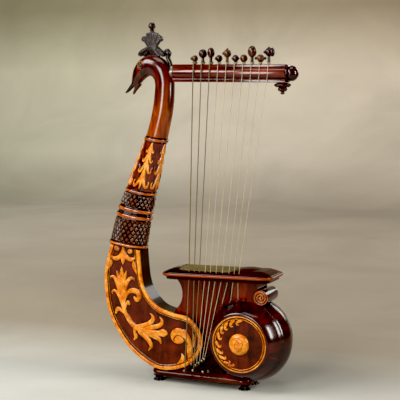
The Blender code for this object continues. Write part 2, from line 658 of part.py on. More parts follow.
def build_hitch_block(tools):
    """Block between the arm and the drum with its nine pins, and the treble pins' own rail."""
    corners = tuple(range(6))
    body = outline("block", ((-20, BOX_BOTTOM + GAP), (60, BOX_BOTTOM + GAP), (48, 50), (34, 70), (12, 70), (-10, 50)),
                   -38.5, -BOX_HALF - GAP, corners=corners)
    boolean(body, tools["arm"])
    boolean(body, tools["drum"])
    body = baked("block_cut", body, None)
    pieces = [body]
    for x, z in BLOCK_PINS:
        pieces.append(rod("pin", (x, -36, z), (x, PIN_Y - 3.5, z), 1.5, segments=6))
        pieces.append(ball("pin_head", (x, PIN_Y - 4, z), (2.3, 2.0, 2.3), segments=6, rings=4))
    joined("hitch_block", pieces, "dark_wood")
    inner_arc = [drum_point(RAIL_RADIUS - 2.8, 90 + 8 * k) for k in range(6)]
    outer_arc = [drum_point(RAIL_RADIUS + 2.8, 130 - 8 * k) for k in range(6)]
    pieces = [outline("rail", inner_arc + outer_arc, -31, -BOX_HALF - GAP, corners=(0, 5, 6, 11), detail=2)]
    for x, z in treble_pins():
        pieces.append(rod("pin", (x, -29, z), (x, TREBLE_PIN_Y - 2.5, z), 1.5, segments=6))
        pieces.append(ball("pin_head", (x, TREBLE_PIN_Y - 3, z), (2.3, 2.0, 2.3), segments=6, rings=4))
    joined("treble_hitch_rail", pieces, "dark_wood")


def build_feet():
    number = 0
    for x in FEET_X:
        for y in (-FOOT_Y, FOOT_Y):
            number += 1
            turned("foot_%d" % number, ((0, FOOT_HEIGHT - GAP), (10.5, FOOT_HEIGHT - GAP), (11.0, 10.4), (7.6, 8.2),
                                        (7.4, 5.6), (10.6, 2.6), (10.8, 0), (0, 0)), (x, y, 0), "Z", "dark_wood",
                   steps=16)


def build_lyre():
    tools = build_cutters()
    build_arm(tools)
    build_neck()
    build_head()
    build_crest()
    build_crossbar()
    for index in range(STRING_COUNT):
        build_peg(index)
        build_string(index)
    build_soundbox(tools)
    build_top_plate()
    build_drum()
    build_hitch_block(tools)
    build_feet()


build_lyre()
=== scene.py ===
"""Looks of the swan-neck lyre: carving, turned rings, weave, strings and finishes around the CAD frame.

Lengths in this file are millimetres unless a name says otherwise; MM turns them into Blender's metres.
"""
import json
import math

import bmesh
import bpy
import numpy as np
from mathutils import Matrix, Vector, geometry


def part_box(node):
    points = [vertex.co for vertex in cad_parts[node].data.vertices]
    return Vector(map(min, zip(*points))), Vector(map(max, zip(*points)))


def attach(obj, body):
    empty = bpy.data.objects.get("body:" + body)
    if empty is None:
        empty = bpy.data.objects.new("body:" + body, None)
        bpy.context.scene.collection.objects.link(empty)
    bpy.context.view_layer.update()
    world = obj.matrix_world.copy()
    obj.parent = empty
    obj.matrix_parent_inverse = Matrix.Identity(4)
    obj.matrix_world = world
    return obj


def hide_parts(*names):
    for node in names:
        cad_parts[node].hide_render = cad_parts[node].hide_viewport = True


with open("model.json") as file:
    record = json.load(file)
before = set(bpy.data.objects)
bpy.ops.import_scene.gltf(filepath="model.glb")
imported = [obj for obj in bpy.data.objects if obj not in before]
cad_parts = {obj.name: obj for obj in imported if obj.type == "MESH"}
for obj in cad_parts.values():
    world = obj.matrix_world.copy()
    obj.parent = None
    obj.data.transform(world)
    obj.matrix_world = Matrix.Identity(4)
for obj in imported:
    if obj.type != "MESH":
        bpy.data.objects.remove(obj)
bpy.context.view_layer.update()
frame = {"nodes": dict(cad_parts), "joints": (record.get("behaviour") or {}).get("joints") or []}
NODES = frame["nodes"]
MM = 0.001


def span(node):
    """Lowest and highest corner of a CAD node, in millimetres."""
    low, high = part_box(node)
    return np.array(low) / MM, np.array(high) / MM


def middle(node):
    low, high = span(node)
    return (low + high) / 2


# ---------------------------------------------------------------- frame dimensions, read from the CAD parts
BAR_LOW, BAR_HIGH = span("crossbar")
NECK_Y = middle("crossbar")[1]
BAR_Z = middle("crossbar")[2]
BAR_TOP = BAR_HIGH[2]
BAR_HALF_DEPTH = (BAR_HIGH[1] - BAR_LOW[1]) / 2
ARM_LOW, ARM_HIGH = span("carved_arm")
BOX_FRONT = span("front_panel")[0][1]
DRUM_X, _, DRUM_Z = middle("drum_shell")
DRUM_LOW, DRUM_HIGH = span("drum_shell")
DRUM_RADIUS = (DRUM_HIGH[2] - DRUM_LOW[2]) / 2
STRING_COUNT = 10


# ---------------------------------------------------------------- materials
def srgb(red, green, blue):
    """Linear colour from the 0-255 values that a screen shows."""
    def linear(value):
        value = value / 255
        return value / 12.92 if value <= 0.04045 else ((value + 0.055) / 1.055) ** 2.4
    return (linear(red), linear(green), linear(blue), 1.0)


class Shading:
    """A node material with short helpers for building it."""

    def __init__(self, name, roughness=0.4, metallic=0.0, coat=0.0, coat_roughness=0.08, specular=0.5):
        self.material = bpy.data.materials.new(name)
        self.material.use_nodes = True
        self.tree = self.material.node_tree
        self.shader = self.tree.nodes["Principled BSDF"]
        self.shader.inputs["Roughness"].default_value = roughness
        self.shader.inputs["Metallic"].default_value = metallic
        self.shader.inputs["Coat Weight"].default_value = coat
        self.shader.inputs["Coat Roughness"].default_value = coat_roughness
        self.shader.inputs["Specular IOR Level"].default_value = specular
        self.place = self.tree.nodes.new("ShaderNodeTexCoord").outputs["Object"]

    def add(self, kind, settings=None, **inputs):
        node = self.tree.nodes.new("ShaderNode" + kind)
        for key, value in (settings or {}).items():
            setattr(node, key, value)
        for key, value in inputs.items():
            socket = node.inputs[key.replace("_",
                                             " ")] if not key.startswith("in") else node.inputs[int(key[2:])]
            self.feed(socket, value)
        return node

    def feed(self, socket, value):
        if isinstance(value, bpy.types.NodeSocket):
            self.tree.links.new(value, socket)
        else:
            socket.default_value = value

    def stretched(self, scale, turn=(0, 0, 0)):
        return self.add("Mapping", Vector=self.place, Scale=scale, Rotation=turn).outputs[0]

    def noise(self, vector, scale, detail=4.0, rough=0.55, distortion=0.0):
        return self.add("TexNoise", Vector=vector, Scale=scale, Detail=detail, Roughness=rough,
                        Distortion=distortion).outputs["Fac"]

    def ramp(self, fac, stops):
        node = self.add("ValToRGB", Fac=fac)
        elements = node.color_ramp.elements
        while len(elements) < len(stops):
            elements.new(0.5)
        for element, (position, colour) in zip(elements, stops):
            element.position = position
            element.color = colour
        return node.outputs["Color"]

    def scalar_ramp(self, fac, stops):
        return self.ramp(fac, [(position, (value, value, value, 1)) for position, value in stops])

    def mix(self, fac, first, second, blend="MIX"):
        node = self.tree.nodes.new("ShaderNodeMix")
        node.data_type = "RGBA"
        node.blend_type = blend
        self.feed(node.inputs[0], fac)
        self.feed(node.inputs[6], first)
        self.feed(node.inputs[7], second)
        return node.outputs[2]

    def math(self, operation, first, second=0.0, clamp=False):
        return self.add("Math", {"operation": operation, "use_clamp": clamp}, in0=first,
                        in1=second).outputs[0]

    def attribute(self, name):
        return self.add("Attribute", {"attribute_name": name}).outputs["Fac"]

    def bump(self, height, strength=0.3, distance=0.0005):
        node = self.add("Bump", Strength=strength, Distance=distance, Height=height)
        self.tree.links.new(node.outputs[0], self.shader.inputs["Normal"])

    def colour(self, value):
        self.feed(self.shader.inputs["Base Color"], value)
        return self.material


def grain_factor(shade, along, fine=1.0):
    """Wood figure: long soft streaks with fine dark pores, running along one axis."""
    squeeze = {"X": (7, 60, 60), "Y": (60, 7, 60), "Z": (60, 60, 7)}[along]
    vector = shade.stretched(tuple(s * fine for s in squeeze))
    figure = shade.noise(vector, 1.0, 6.0, 0.6, 0.6)
    pores = shade.noise(shade.stretched(tuple(s * 9 * fine for s in squeeze)), 1.0, 3.0, 0.7)
    return figure, pores


def wood(name, dark, middle_tone, light, along="Z", fine=1.0, coat=0.4, roughness=0.32, blotch=0.5, bump=0.12,
         painted_light=False, gloss=0.05):
    shade = Shading(name, roughness=roughness, coat=coat, coat_roughness=gloss, specular=0.06)
    figure, pores = grain_factor(shade, along, fine)
    tone = shade.ramp(figure, [(0.30, dark), (0.52, middle_tone), (0.72, light)])
    clouds = shade.scalar_ramp(shade.noise(shade.place, 22.0, 3.0, 0.6), [(0.32, 1 - blotch), (0.68, 1.0)])
    tone = shade.mix(1.0, tone, clouds, "MULTIPLY")
    pits = shade.scalar_ramp(pores, [(0.35, 0.45), (0.5, 1.0)])
    tone = shade.mix(0.6, tone, pits, "MULTIPLY")
    if painted_light:
        # Painted light for the plate: the gold value paints a copper highlight along its rounded front edge, the
        # shade value paints shade under the edge, in the groove and at the string holes.
        tone = shade.mix(shade.attribute("gold"), tone, srgb(176, 84, 36))
        tone = shade.mix(shade.attribute("soot"), tone, srgb(6, 2, 1))
    shade.bump(pores, bump, 0.0002)
    return shade.colour(tone)


def carved(name, ground_dark, ground_light, coat=0.4, patchy=34.0, gilt=0):
    """Polished mottled ground with gold carving, told apart by the mesh's own gold values; its shade values paint
    shade into grooves and hollows.
    """
    shade = Shading(name, roughness=0.36, coat=coat, coat_roughness=0.08, specular=0.1)
    figure, _ = grain_factor(shade, "Z")
    patches = shade.noise(shade.place, patchy, 5.0, 0.62, 0.4)
    ground = shade.ramp(shade.math("ADD", shade.math("MULTIPLY", figure, 0.45), shade.math("MULTIPLY",
                                                                                           patches, 0.55)),
                        [(0.38, ground_dark), (0.62, ground_light)])
    clouds = shade.noise(shade.place, 55.0, 5.0, 0.65)
    tones = ((srgb(150, 64, 10), srgb(196, 108, 22), srgb(212, 136, 46), srgb(232, 176, 104)),
             (srgb(96, 34, 8), srgb(146, 66, 14), srgb(172, 90, 26), srgb(196, 122, 54)))[gilt]
    gold = shade.ramp(clouds, list(zip((0.30, 0.45, 0.58, 0.72), tones)))
    grime = shade.scalar_ramp(shade.noise(shade.place, 210.0, 4.0, 0.7), [(0.36, 0.4), (0.52, 1.0)])
    gold = shade.mix(0.6, gold, grime, "MULTIPLY")
    share = shade.math("ADD", shade.attribute("gold"), shade.math("MULTIPLY", shade.math(
        "SUBTRACT", shade.noise(shade.place, 420.0, 3.0, 0.7), 0.5), 0.25))
    edge = shade.scalar_ramp(share, [(0.42, 0.0), (0.58, 1.0)])
    tone = shade.mix(edge, ground, gold)
    # Painted shade: the mesh's per-point shade values darken grooves, hollows and the outlines round leaves nearly
    # to black.
    soot = shade.math("MULTIPLY", shade.attribute("soot"), 0.95, True)
    tone = shade.mix(soot, tone, srgb(12, 4, 2))
    shade.bump(shade.noise(shade.place, 900.0, 2.0, 0.6), 0.1, 0.0002)
    return shade.colour(tone)


def make_materials():
    made = {}
    made["bar"] = wood("crossbar_mahogany", srgb(26, 5, 2), srgb(84, 20, 6), srgb(136, 50, 16), "X", coat=1.0,
                       gloss=0.16)
    made["neck"] = neck_material()
    made["panel"] = wood("red_brown_panel", srgb(42, 7, 3), srgb(92, 20, 7), srgb(132, 48, 18), "Z", fine=1.3,
                         roughness=0.36, blotch=0.45)
    made["plinth"] = wood("plinth_mahogany", srgb(24, 7, 4), srgb(66, 22, 10), srgb(98, 42, 20), "X")
    made["ebony"] = wood("near_black_wood", srgb(8, 3, 2), srgb(24, 7, 4), srgb(46, 15, 8), "X",
                         roughness=0.28,
                         blotch=0.4)
    # The plate's copper highlight and its shade are painted from per-point values.
    made["plate"] = wood("plate_mahogany", srgb(20, 4, 3), srgb(54, 9, 4), srgb(96, 24, 10), "X",
                         roughness=0.24,
                         blotch=0.45, painted_light=True)
    made["drum"] = wood("drum_mahogany", srgb(16, 3, 2), srgb(46, 8, 4), srgb(84, 19, 8), "Y", coat=0.8,
                        roughness=0.24, blotch=0.4, bump=0.03, gloss=0.15)
    made["knob"] = wood("knob_mahogany", srgb(14, 4, 3), srgb(40, 8, 5), srgb(74, 18, 9), "Z", coat=0.8,
                        roughness=0.2)
    made["turned"] = wood("turned_dark_wood", srgb(14, 5, 3), srgb(44, 16, 9), srgb(84, 38, 20), "Z",
                          fine=2.0,
                          coat=0.6, roughness=0.26)
    made["peg_light"] = wood("peg_amber", srgb(34, 16, 7), srgb(78, 42, 20), srgb(134, 88, 46), "Z", fine=2.0,
                             coat=0.6, roughness=0.28)
    made["crest"] = wood("crest_wood", srgb(9, 4, 3), srgb(26, 12, 8), srgb(66, 40, 27), "Z", fine=1.6,
                         coat=1.0, roughness=0.3, gloss=0.14)
    made["eye"] = wood("eye_black", srgb(6, 4, 3), srgb(14, 8, 6), srgb(24, 14, 10), "Z", coat=1.0,
                       roughness=0.12)
    # Eyelid rings in wood lightened to a painted highlight, much lighter than the head.
    made["eyelid"] = wood("eyelid_wood", srgb(96, 44, 22), srgb(150, 84, 46), srgb(190, 128, 84), "Z",
                          coat=1.0)
    made["silver"] = metal("pale_metal", srgb(110, 106, 98), srgb(206, 202, 192), 0.28)
    made["carved"] = carved("carved_relief", srgb(26, 6, 3), srgb(96, 30, 10))
    made["leaves"] = carved("carved_neck_leaves", srgb(30, 6, 3), srgb(110, 34, 10), coat=0.8, patchy=60.0)
    made["copper"] = carved("copper_ring", srgb(18, 5, 3), srgb(52, 16, 8), coat=1.0, gilt=1)
    made["boss"] = carved("worn_boss", srgb(120, 50, 24), srgb(170, 90, 40))
    made["diamond"] = carved("diamond_carving", srgb(30, 12, 7), srgb(104, 62, 38), coat=0.5, patchy=70.0)
    made["mesh"] = weave_material()
    made["brass"] = metal("aged_brass", srgb(52, 44, 34), srgb(150, 138, 116), 0.3)
    made["thick_string"] = string_material("dark_wound_string", srgb(62, 52, 28), srgb(126, 108, 68))
    made["thin_string"] = string_material("pale_gut_string", srgb(128, 118, 86), srgb(186, 174, 142))
    return made


def neck_material():
    """One skin for neck and head: amber at the foot, deep red-brown towards the crown, a near-black bill."""
    shade = Shading("neck_mahogany", roughness=0.3, coat=1.0, coat_roughness=0.15, specular=0.05)
    figure, pores = grain_factor(shade, "Z", 1.2)
    amber = shade.ramp(figure, [(0.32, srgb(64, 18, 4)), (0.5, srgb(132, 52, 8)), (0.7, srgb(184, 94, 24))])
    red = shade.ramp(figure, [(0.32, srgb(20, 4, 2)), (0.5, srgb(62, 13, 5)), (0.7, srgb(112, 34, 12))])
    place = shade.add("SeparateXYZ", Vector=shade.place).outputs
    share = shade.add("MapRange", Value=place[2], in1=0.50, in2=0.60, in3=0.0, in4=1.0).outputs[0]
    clouds = shade.scalar_ramp(shade.noise(shade.place, 30.0, 4.0, 0.65), [(0.30, 0.45), (0.66, 1.0)])
    tone = shade.mix(1.0, shade.mix(share, amber, red), clouds, "MULTIPLY")
    beak = shade.add("MapRange", Value=place[0], in1=-0.124, in2=-0.143, in3=0.0, in4=1.0).outputs[0]
    tone = shade.mix(beak, tone, srgb(24, 12, 8))
    shade.bump(pores, 0.06, 0.0002)
    return shade.colour(tone)


def weave_material():
    shade = Shading("woven_gold_mesh", roughness=0.62, specular=0.3)
    tint = shade.ramp(shade.noise(shade.place, 260.0, 3.0, 0.7),
                      [(0.3, srgb(56, 46, 20)), (0.5, srgb(97, 83, 44)), (0.7, srgb(132, 115, 70))])
    # Painted shade between the threads, from the mesh's shade values.
    tone = shade.mix(shade.attribute("soot"), tint, srgb(17, 13, 7))
    shade.bump(shade.noise(shade.place, 1500.0, 2.0), 0.3, 0.0002)
    return shade.colour(tone)


def metal(name, dark, light, roughness):
    shade = Shading(name, roughness=roughness, metallic=0.85)
    return shade.colour(shade.ramp(shade.noise(shade.place, 350.0, 4.0, 0.65), [(0.35, dark), (0.65, light)]))


def string_material(name, dark, light):
    shade = Shading(name, roughness=0.42, specular=0.4)
    twist = shade.add("TexWave", {"wave_type": "BANDS", "bands_direction": "Z"}, Vector=shade.place,
                      Scale=260.0,
                      Distortion=1.5).outputs["Fac"]
    shade.bump(twist, 0.4, 0.0001)
    return shade.colour(shade.ramp(twist, [(0.2, dark), (0.8, light)]))


MATERIALS = make_materials()


# ---------------------------------------------------------------- mesh helpers
def finish_piece(piece, body="root", slot=None, stands_for=()):
    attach(piece, body)
    for node in stands_for:
        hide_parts(node)
    return piece


def solid(name, points, faces, material, values=None, sharp=40, **where):
    """Object from points in millimetres; values are named per-point numbers that the material reads."""
    mesh = bpy.data.meshes.new(name)
    mesh.from_pydata((np.asarray(points, float) * MM).tolist(), [], faces)
    mesh.validate()
    for key, numbers in (values or {}).items():
        attribute = mesh.attributes.new(key, "FLOAT", "POINT")
        attribute.data.foreach_set("value", np.asarray(numbers, np.float32))
    mesh.shade_smooth()
    mesh.set_sharp_from_angle(angle=math.radians(sharp))
    mesh.materials.append(MATERIALS[material])
    piece = bpy.data.objects.new(name, mesh)
    bpy.context.scene.collection.objects.link(piece)
    return finish_piece(piece, **where)


def skin(rings, wrap=True, caps=True):
    """Points and faces over rings of equal length."""
    count = len(rings[0])
    points = [point for ring in rings for point in ring]
    faces = []
    for level in range(len(rings) - 1):
        for k in range(count if wrap else count - 1):
            n = (k + 1) % count
            low, high = level * count, (level + 1) * count
            faces.append((low + k, low + n, high + n, high + k))
    if caps:
        faces.append(tuple(range(count))[::-1])
        faces.append(tuple(range((len(rings) - 1) * count, len(rings) * count)))
    return points, faces


def outward(piece):
    builder = bmesh.new()
    builder.from_mesh(piece.data)
    bmesh.ops.recalc_face_normals(builder, faces=builder.faces)
    if builder.calc_volume(signed=True) < 0:
        bmesh.ops.reverse_faces(builder, faces=builder.faces)
    builder.to_mesh(piece.data)
    builder.free()
    return piece


def spline(points, per=8, closed=False):
    """Catmull-Rom samples through points of any dimension."""
    knots = [np.asarray(p, float) for p in points]
    count = len(knots)
    samples = []
    for i in range(count if closed else count - 1):
        if closed:
            a, b, c, d = (knots[(i + k) % count] for k in (-1, 0, 1, 2))
        else:
            a, b, c, d = (knots[min(max(i + k, 0), count - 1)] for k in (-1, 0, 1, 2))
        for step in range(per):
            t = step / per
            samples.append(0.5 * (2 * b + (c - a) * t + (2 * a - 5 * b + 4 * c - d) * t * t
                                  + (3 * b - a - 3 * c + d) * t ** 3))
    if not closed:
        samples.append(knots[-1])
    return np.array(samples)


def lathe(name, profile, centre, axis, material, steps=64, per=1, values=None, flutes=(0, 0.0), **where):
    """Turned solid: profile pairs (radius, height) from one end of the axis to the other."""
    line = spline(profile, per) if per > 1 else np.array(profile, float)
    rings = []
    for radius, height in line:
        ring = []
        for k in range(steps):
            angle = 2 * math.pi * k / steps
            swell = radius * (1 + flutes[1] * (abs(math.cos(flutes[0] * angle / 2)) - 0.5))
            first, second = swell * math.cos(angle), swell * math.sin(angle)
            local = {"Z": (first, second, height), "X": (height, first, second), "Y": (first, height,
                                                                                       second)}[axis]
            ring.append(np.array(centre) + local)
        rings.append(ring)
    points, faces = skin(rings)
    weights = {key: np.repeat(numbers, steps) for key, numbers in (values or {}).items()}
    return outward(solid(name, points, faces, material, weights, **where))


def tube_piece(name, path, radius, material, sides=10, **where):
    """Round bar along a path; radius is a number or one for each point."""
    path = np.asarray(path, float)
    radii = np.full(len(path), radius) if np.isscalar(radius) else np.asarray(radius, float)
    rings = []
    side = None
    for i, point in enumerate(path):
        ahead = path[min(i + 1, len(path) - 1)] - path[max(i - 1, 0)]
        ahead = ahead / np.linalg.norm(ahead)
        if side is None:
            start = np.array((0, 1, 0)) if abs(ahead[1]) < 0.8 else np.array((1, 0, 0))
            side = np.cross(ahead, start)
        side = side - ahead * np.dot(side, ahead)
        side = side / np.linalg.norm(side)
        other = np.cross(ahead, side)
        rings.append([point + radii[i] * (math.cos(a) * side + math.sin(a) * other)
                      for a in np.linspace(0, 2 * math.pi, sides, endpoint=False)])
    points, faces = skin(rings)
    return outward(solid(name, points, faces, material, **where))


def smooth_step(value, low, high):
    t = np.clip((value - low) / (high - low), 0, 1)
    return t * t * (3 - 2 * t)


def stroke_field(x, z, strokes):
    """Height (0 to about 1.3) and nearness of tapered carved strokes given as (x, z, half width) knots."""
    height = np.zeros(len(x))
    nearness = np.full(len(x), 99.0)
    for knots in strokes:
        line = spline(knots, 10) if len(knots) > 1 else np.array(knots, float)
        reach = line[:, 2].max() + 4
        near = ((x > line[:, 0].min() - reach) & (x < line[:, 0].max() + reach)
                & (z > line[:, 1].min() - reach) & (z < line[:, 1].max() + reach))
        if not near.any():
            continue
        gap = np.hypot(x[near, None] - line[None, :, 0], z[near, None] - line[None, :, 1])
        width = np.maximum(line[None, :, 2], 0.15)
        ratio = gap / width
        best = ratio.argmin(axis=1)
        rows = np.arange(len(best))
        least = ratio[rows, best]
        wide = width[0][best]
        dome = np.minimum(np.sqrt(np.clip(1 - least ** 2, 0, 1)) * (0.55 + 0.11 * wide), 1.15)
        if len(knots) > 2:
            dome -= 0.34 * np.exp(-(gap.min(axis=1) / (0.1 * wide + 0.3)) ** 2) * (wide > 1.4)
        outside = (least - 1) * wide
        height[near] = np.where(least < 1, np.maximum(height[near], dome), height[near])
        nearness[near] = np.minimum(nearness[near], outside)
    return height, nearness


# ---------------------------------------------------------------- the carved arm
ARM_OUTLINE = (
    (-184, 268.2), (-196.5, 222), (-198.2, 183), (-187, 125), (-148, 65.5), (-94.5, 29.5), (-54.5, 25.5),
    (-14, 40), (12, 70), (14, 100), (-10, 132), (-46, 140.6), (-78, 150), (-101.7, 173), (-114, 202),
    (-119.8, 259.2))

# Carved leaf strokes on the arm's face: knots of X, Z and half width
ARM_STROKES = {
    "upper_stem": ((-160, 224, 0.6), (-160, 210, 4.6), (-160.7, 188, 5.6), (-160, 167, 5.4), (-157, 146, 4.6),
                   (-152, 131, 4.4), (-143, 119, 4.6)),
    "upper_top_left": ((-163, 186, 3.4), (-168, 205, 3.2), (-171.5, 215, 0.5)),
    "upper_top_right": ((-157, 187, 3.4), (-152.5, 206, 3.2), (-149.5, 217, 0.5)),
    "upper_left": ((-162, 164, 3.6), (-169.5, 187, 3.8), (-176, 201, 3.6), (-184, 203, 1.8), (-184, 198,
                                                                                              0.6)),
    "upper_right": ((-155, 172, 3.6), (-149, 192, 3.8), (-142, 201, 3.6), (-133.5, 202, 2.0), (-132.5, 197,
                                                                                               0.6)),
    "upper_low_left": ((-160, 150, 3.2), (-168, 168, 3.2), (-176, 175, 2.8), (-182, 172, 1.2), (-181, 168,
                                                                                                0.5)),
    "upper_curl": ((-156, 152, 3.2), (-149.5, 170, 3.6), (-138, 177.5, 5.0), (-125.3, 175.5, 5.6),
                   (-121.5, 166, 5.0), (-127, 159.5, 4.0), (-132, 164, 2.4)),
    "small_curl": ((-154.5, 132, 1.6), (-151.5, 146, 2.4), (-146.5, 154, 3.2), (-143.5, 149.5, 2.0)),
    "bud": ((-147, 124, 1.8), (-159, 134.5, 3.0), (-169, 138.5, 4.2), (-173.5, 130, 2.2)),
    "lower_stem": ((-152, 131, 4.0), (-145, 119, 4.6), (-134, 108, 5.2), (-119, 101, 6.4)),
    "lower_up_left": ((-124, 106, 4.6), (-108.5, 110.5, 5.0), (-98, 116, 4.8), (-91, 124.5, 4.4), (-94, 132.5,
                                                                                                   1.8),
                      (-98.5, 135, 0.6)),
    "lower_up_right": ((-106, 104, 4.6), (-89, 108.5, 4.8), (-77, 113, 4.4), (-71.5, 120, 3.6), (-73.5, 126.5,
                                                                                                 1.6),
                       (-77, 129.5, 0.6)),
    "lower_main": ((-124, 102, 5.4), (-108, 98.5, 5.6), (-92, 97, 5.2), (-78, 97, 5.4), (-68.5, 98.5, 7.4),
                   (-60, 98.6, 0.8)),
    "lower_right": ((-106, 96, 4.6), (-89, 90, 5.0), (-78.5, 85.5, 4.2), (-74, 76.5, 1.0)),
    "lower_down": ((-120, 96, 5.0), (-106, 86, 5.2), (-98, 76.5, 4.6), (-95.5, 69, 3.6), (-101.5, 60.5, 1.0)),
    "lower_curl": ((-132, 105, 3.4), (-132, 94, 3.2), (-129, 85.5, 3.8), (-133.5, 79, 1.4)),
    "tail_leaf": ((-29.5, 61, 0.7), (-26.5, 54, 4.0), (-30, 46, 4.0), (-38, 40, 1.4)),
    "side_sliver": ((-4, 101, 0.9), (-3, 89, 2.3), (-4, 76, 0.7)),
    "flower": ((-156.5, 262, 2.4), (-156.5, 247, 5.6), (-157, 238, 4.4), (-157, 228.5, 0.6)),
    "flower_left": ((-158, 252, 4.4), (-165, 243, 4.6), (-175, 239.5, 4.0), (-183, 245, 1.8), (-184, 250,
                                                                                               0.6)),
    "flower_right": ((-155, 252, 4.4), (-148, 243, 4.6), (-139, 239.5, 4.0), (-131.5, 243, 1.8), (-130.5, 249,
                                                                                                  0.6)),
    "bulge_left": ((-190, 237, 1.6), (-184.5, 231, 4.4), (-188, 219, 0.9)),
    "bulge_right": ((-133, 233, 3.4), (-131.5, 225, 4.2), (-126, 211, 0.9)),
}
# The big volute: a band that rises from the tail and winds into a round disc
VOLUTE_BAND = ((-13.5, 50, 2.0), (-12.5, 66, 5.4), (-13.0, 80, 5.8), (-16.5, 92, 6.2), (-24, 103, 6.8))
VOLUTE_DISC = ((-37.1, 95.3, 15.8), (-36.5, 95.7, 15.8))
VOLUTE_GROOVE = ((-44.6, 84.5, 0.7), (-44.8, 90.5, 0.8), (-38.0, 96.6, 0.9), (-29.0, 94.6, 1.0), (-22.0, 88.6,
                                                                                                  1.5),
                 (-18.2, 81.5, 2.2))
ROSETTES = ((-170.5, 259.8), (-141.5, 256))
ROSETTE_RADIUS = 6.8
BAND_WIDTH = 7.8          # the arm's outer gold border
GROUND_DEPTH = 2.2        # how far the carved ground lies below the border


def arm_edge():
    """Dense closed outline of the arm; the last piece, between the upper corners, is straight."""
    line = spline(ARM_OUTLINE, 14)
    top = [line[-1] + (line[0] - line[-1]) * t for t in np.linspace(0, 1, 40)[1:-1]]
    return line, np.vstack([line, top])


def fill_outline(edge, pitch):
    """Triangles over the inside of a closed outline, with points on a staggered grid."""
    low, high = edge.min(0), edge.max(0)
    rows = np.arange(low[1] + pitch, high[1], pitch * 0.866)
    inner = []
    for number, z in enumerate(rows):
        shift = pitch / 2 * (number % 2)
        nxt = np.roll(edge, -1, axis=0)
        cross = (edge[:, 1] > z) != (nxt[:, 1] > z)
        a, b = edge[cross], nxt[cross]
        hits = np.sort(a[:, 0] + (z - a[:, 1]) / (b[:, 1] - a[:, 1]) * (b[:, 0] - a[:, 0]))
        for start, end in zip(hits[0::2], hits[1::2]):
            xs = np.arange(math.ceil((start + 0.4) / pitch) * pitch + shift, end - 0.4, pitch)
            inner.extend((x, z) for x in xs)
    inner = np.array(inner)
    keep = distance_to(edge, inner, closed=True) > pitch * 0.55
    points = np.vstack([edge, inner[keep]])
    loop = [(i, (i + 1) % len(edge)) for i in range(len(edge))]
    result = geometry.delaunay_2d_cdt([Vector(p) for p in points], loop, [], 1, 1e-7)
    return np.array([tuple(v) for v in result[0]]), [tuple(f) for f in result[2]]


def distance_to(line, points, closed=False, chunk=4000):
    """Least distance from each point to a polyline."""
    start = line if closed else line[:-1]
    end = np.roll(line, -1, axis=0) if closed else line[1:]
    step = end - start
    length = np.maximum((step ** 2).sum(1), 1e-12)
    found = np.empty(len(points))
    for first in range(0, len(points), chunk):
        part = points[first:first + chunk]
        rel = part[:, None, :] - start[None]
        t = np.clip((rel * step[None]).sum(2) / length[None], 0, 1)
        gap = rel - t[..., None] * step[None]
        found[first:first + chunk] = np.sqrt((gap ** 2).sum(2).min(1))
    return found


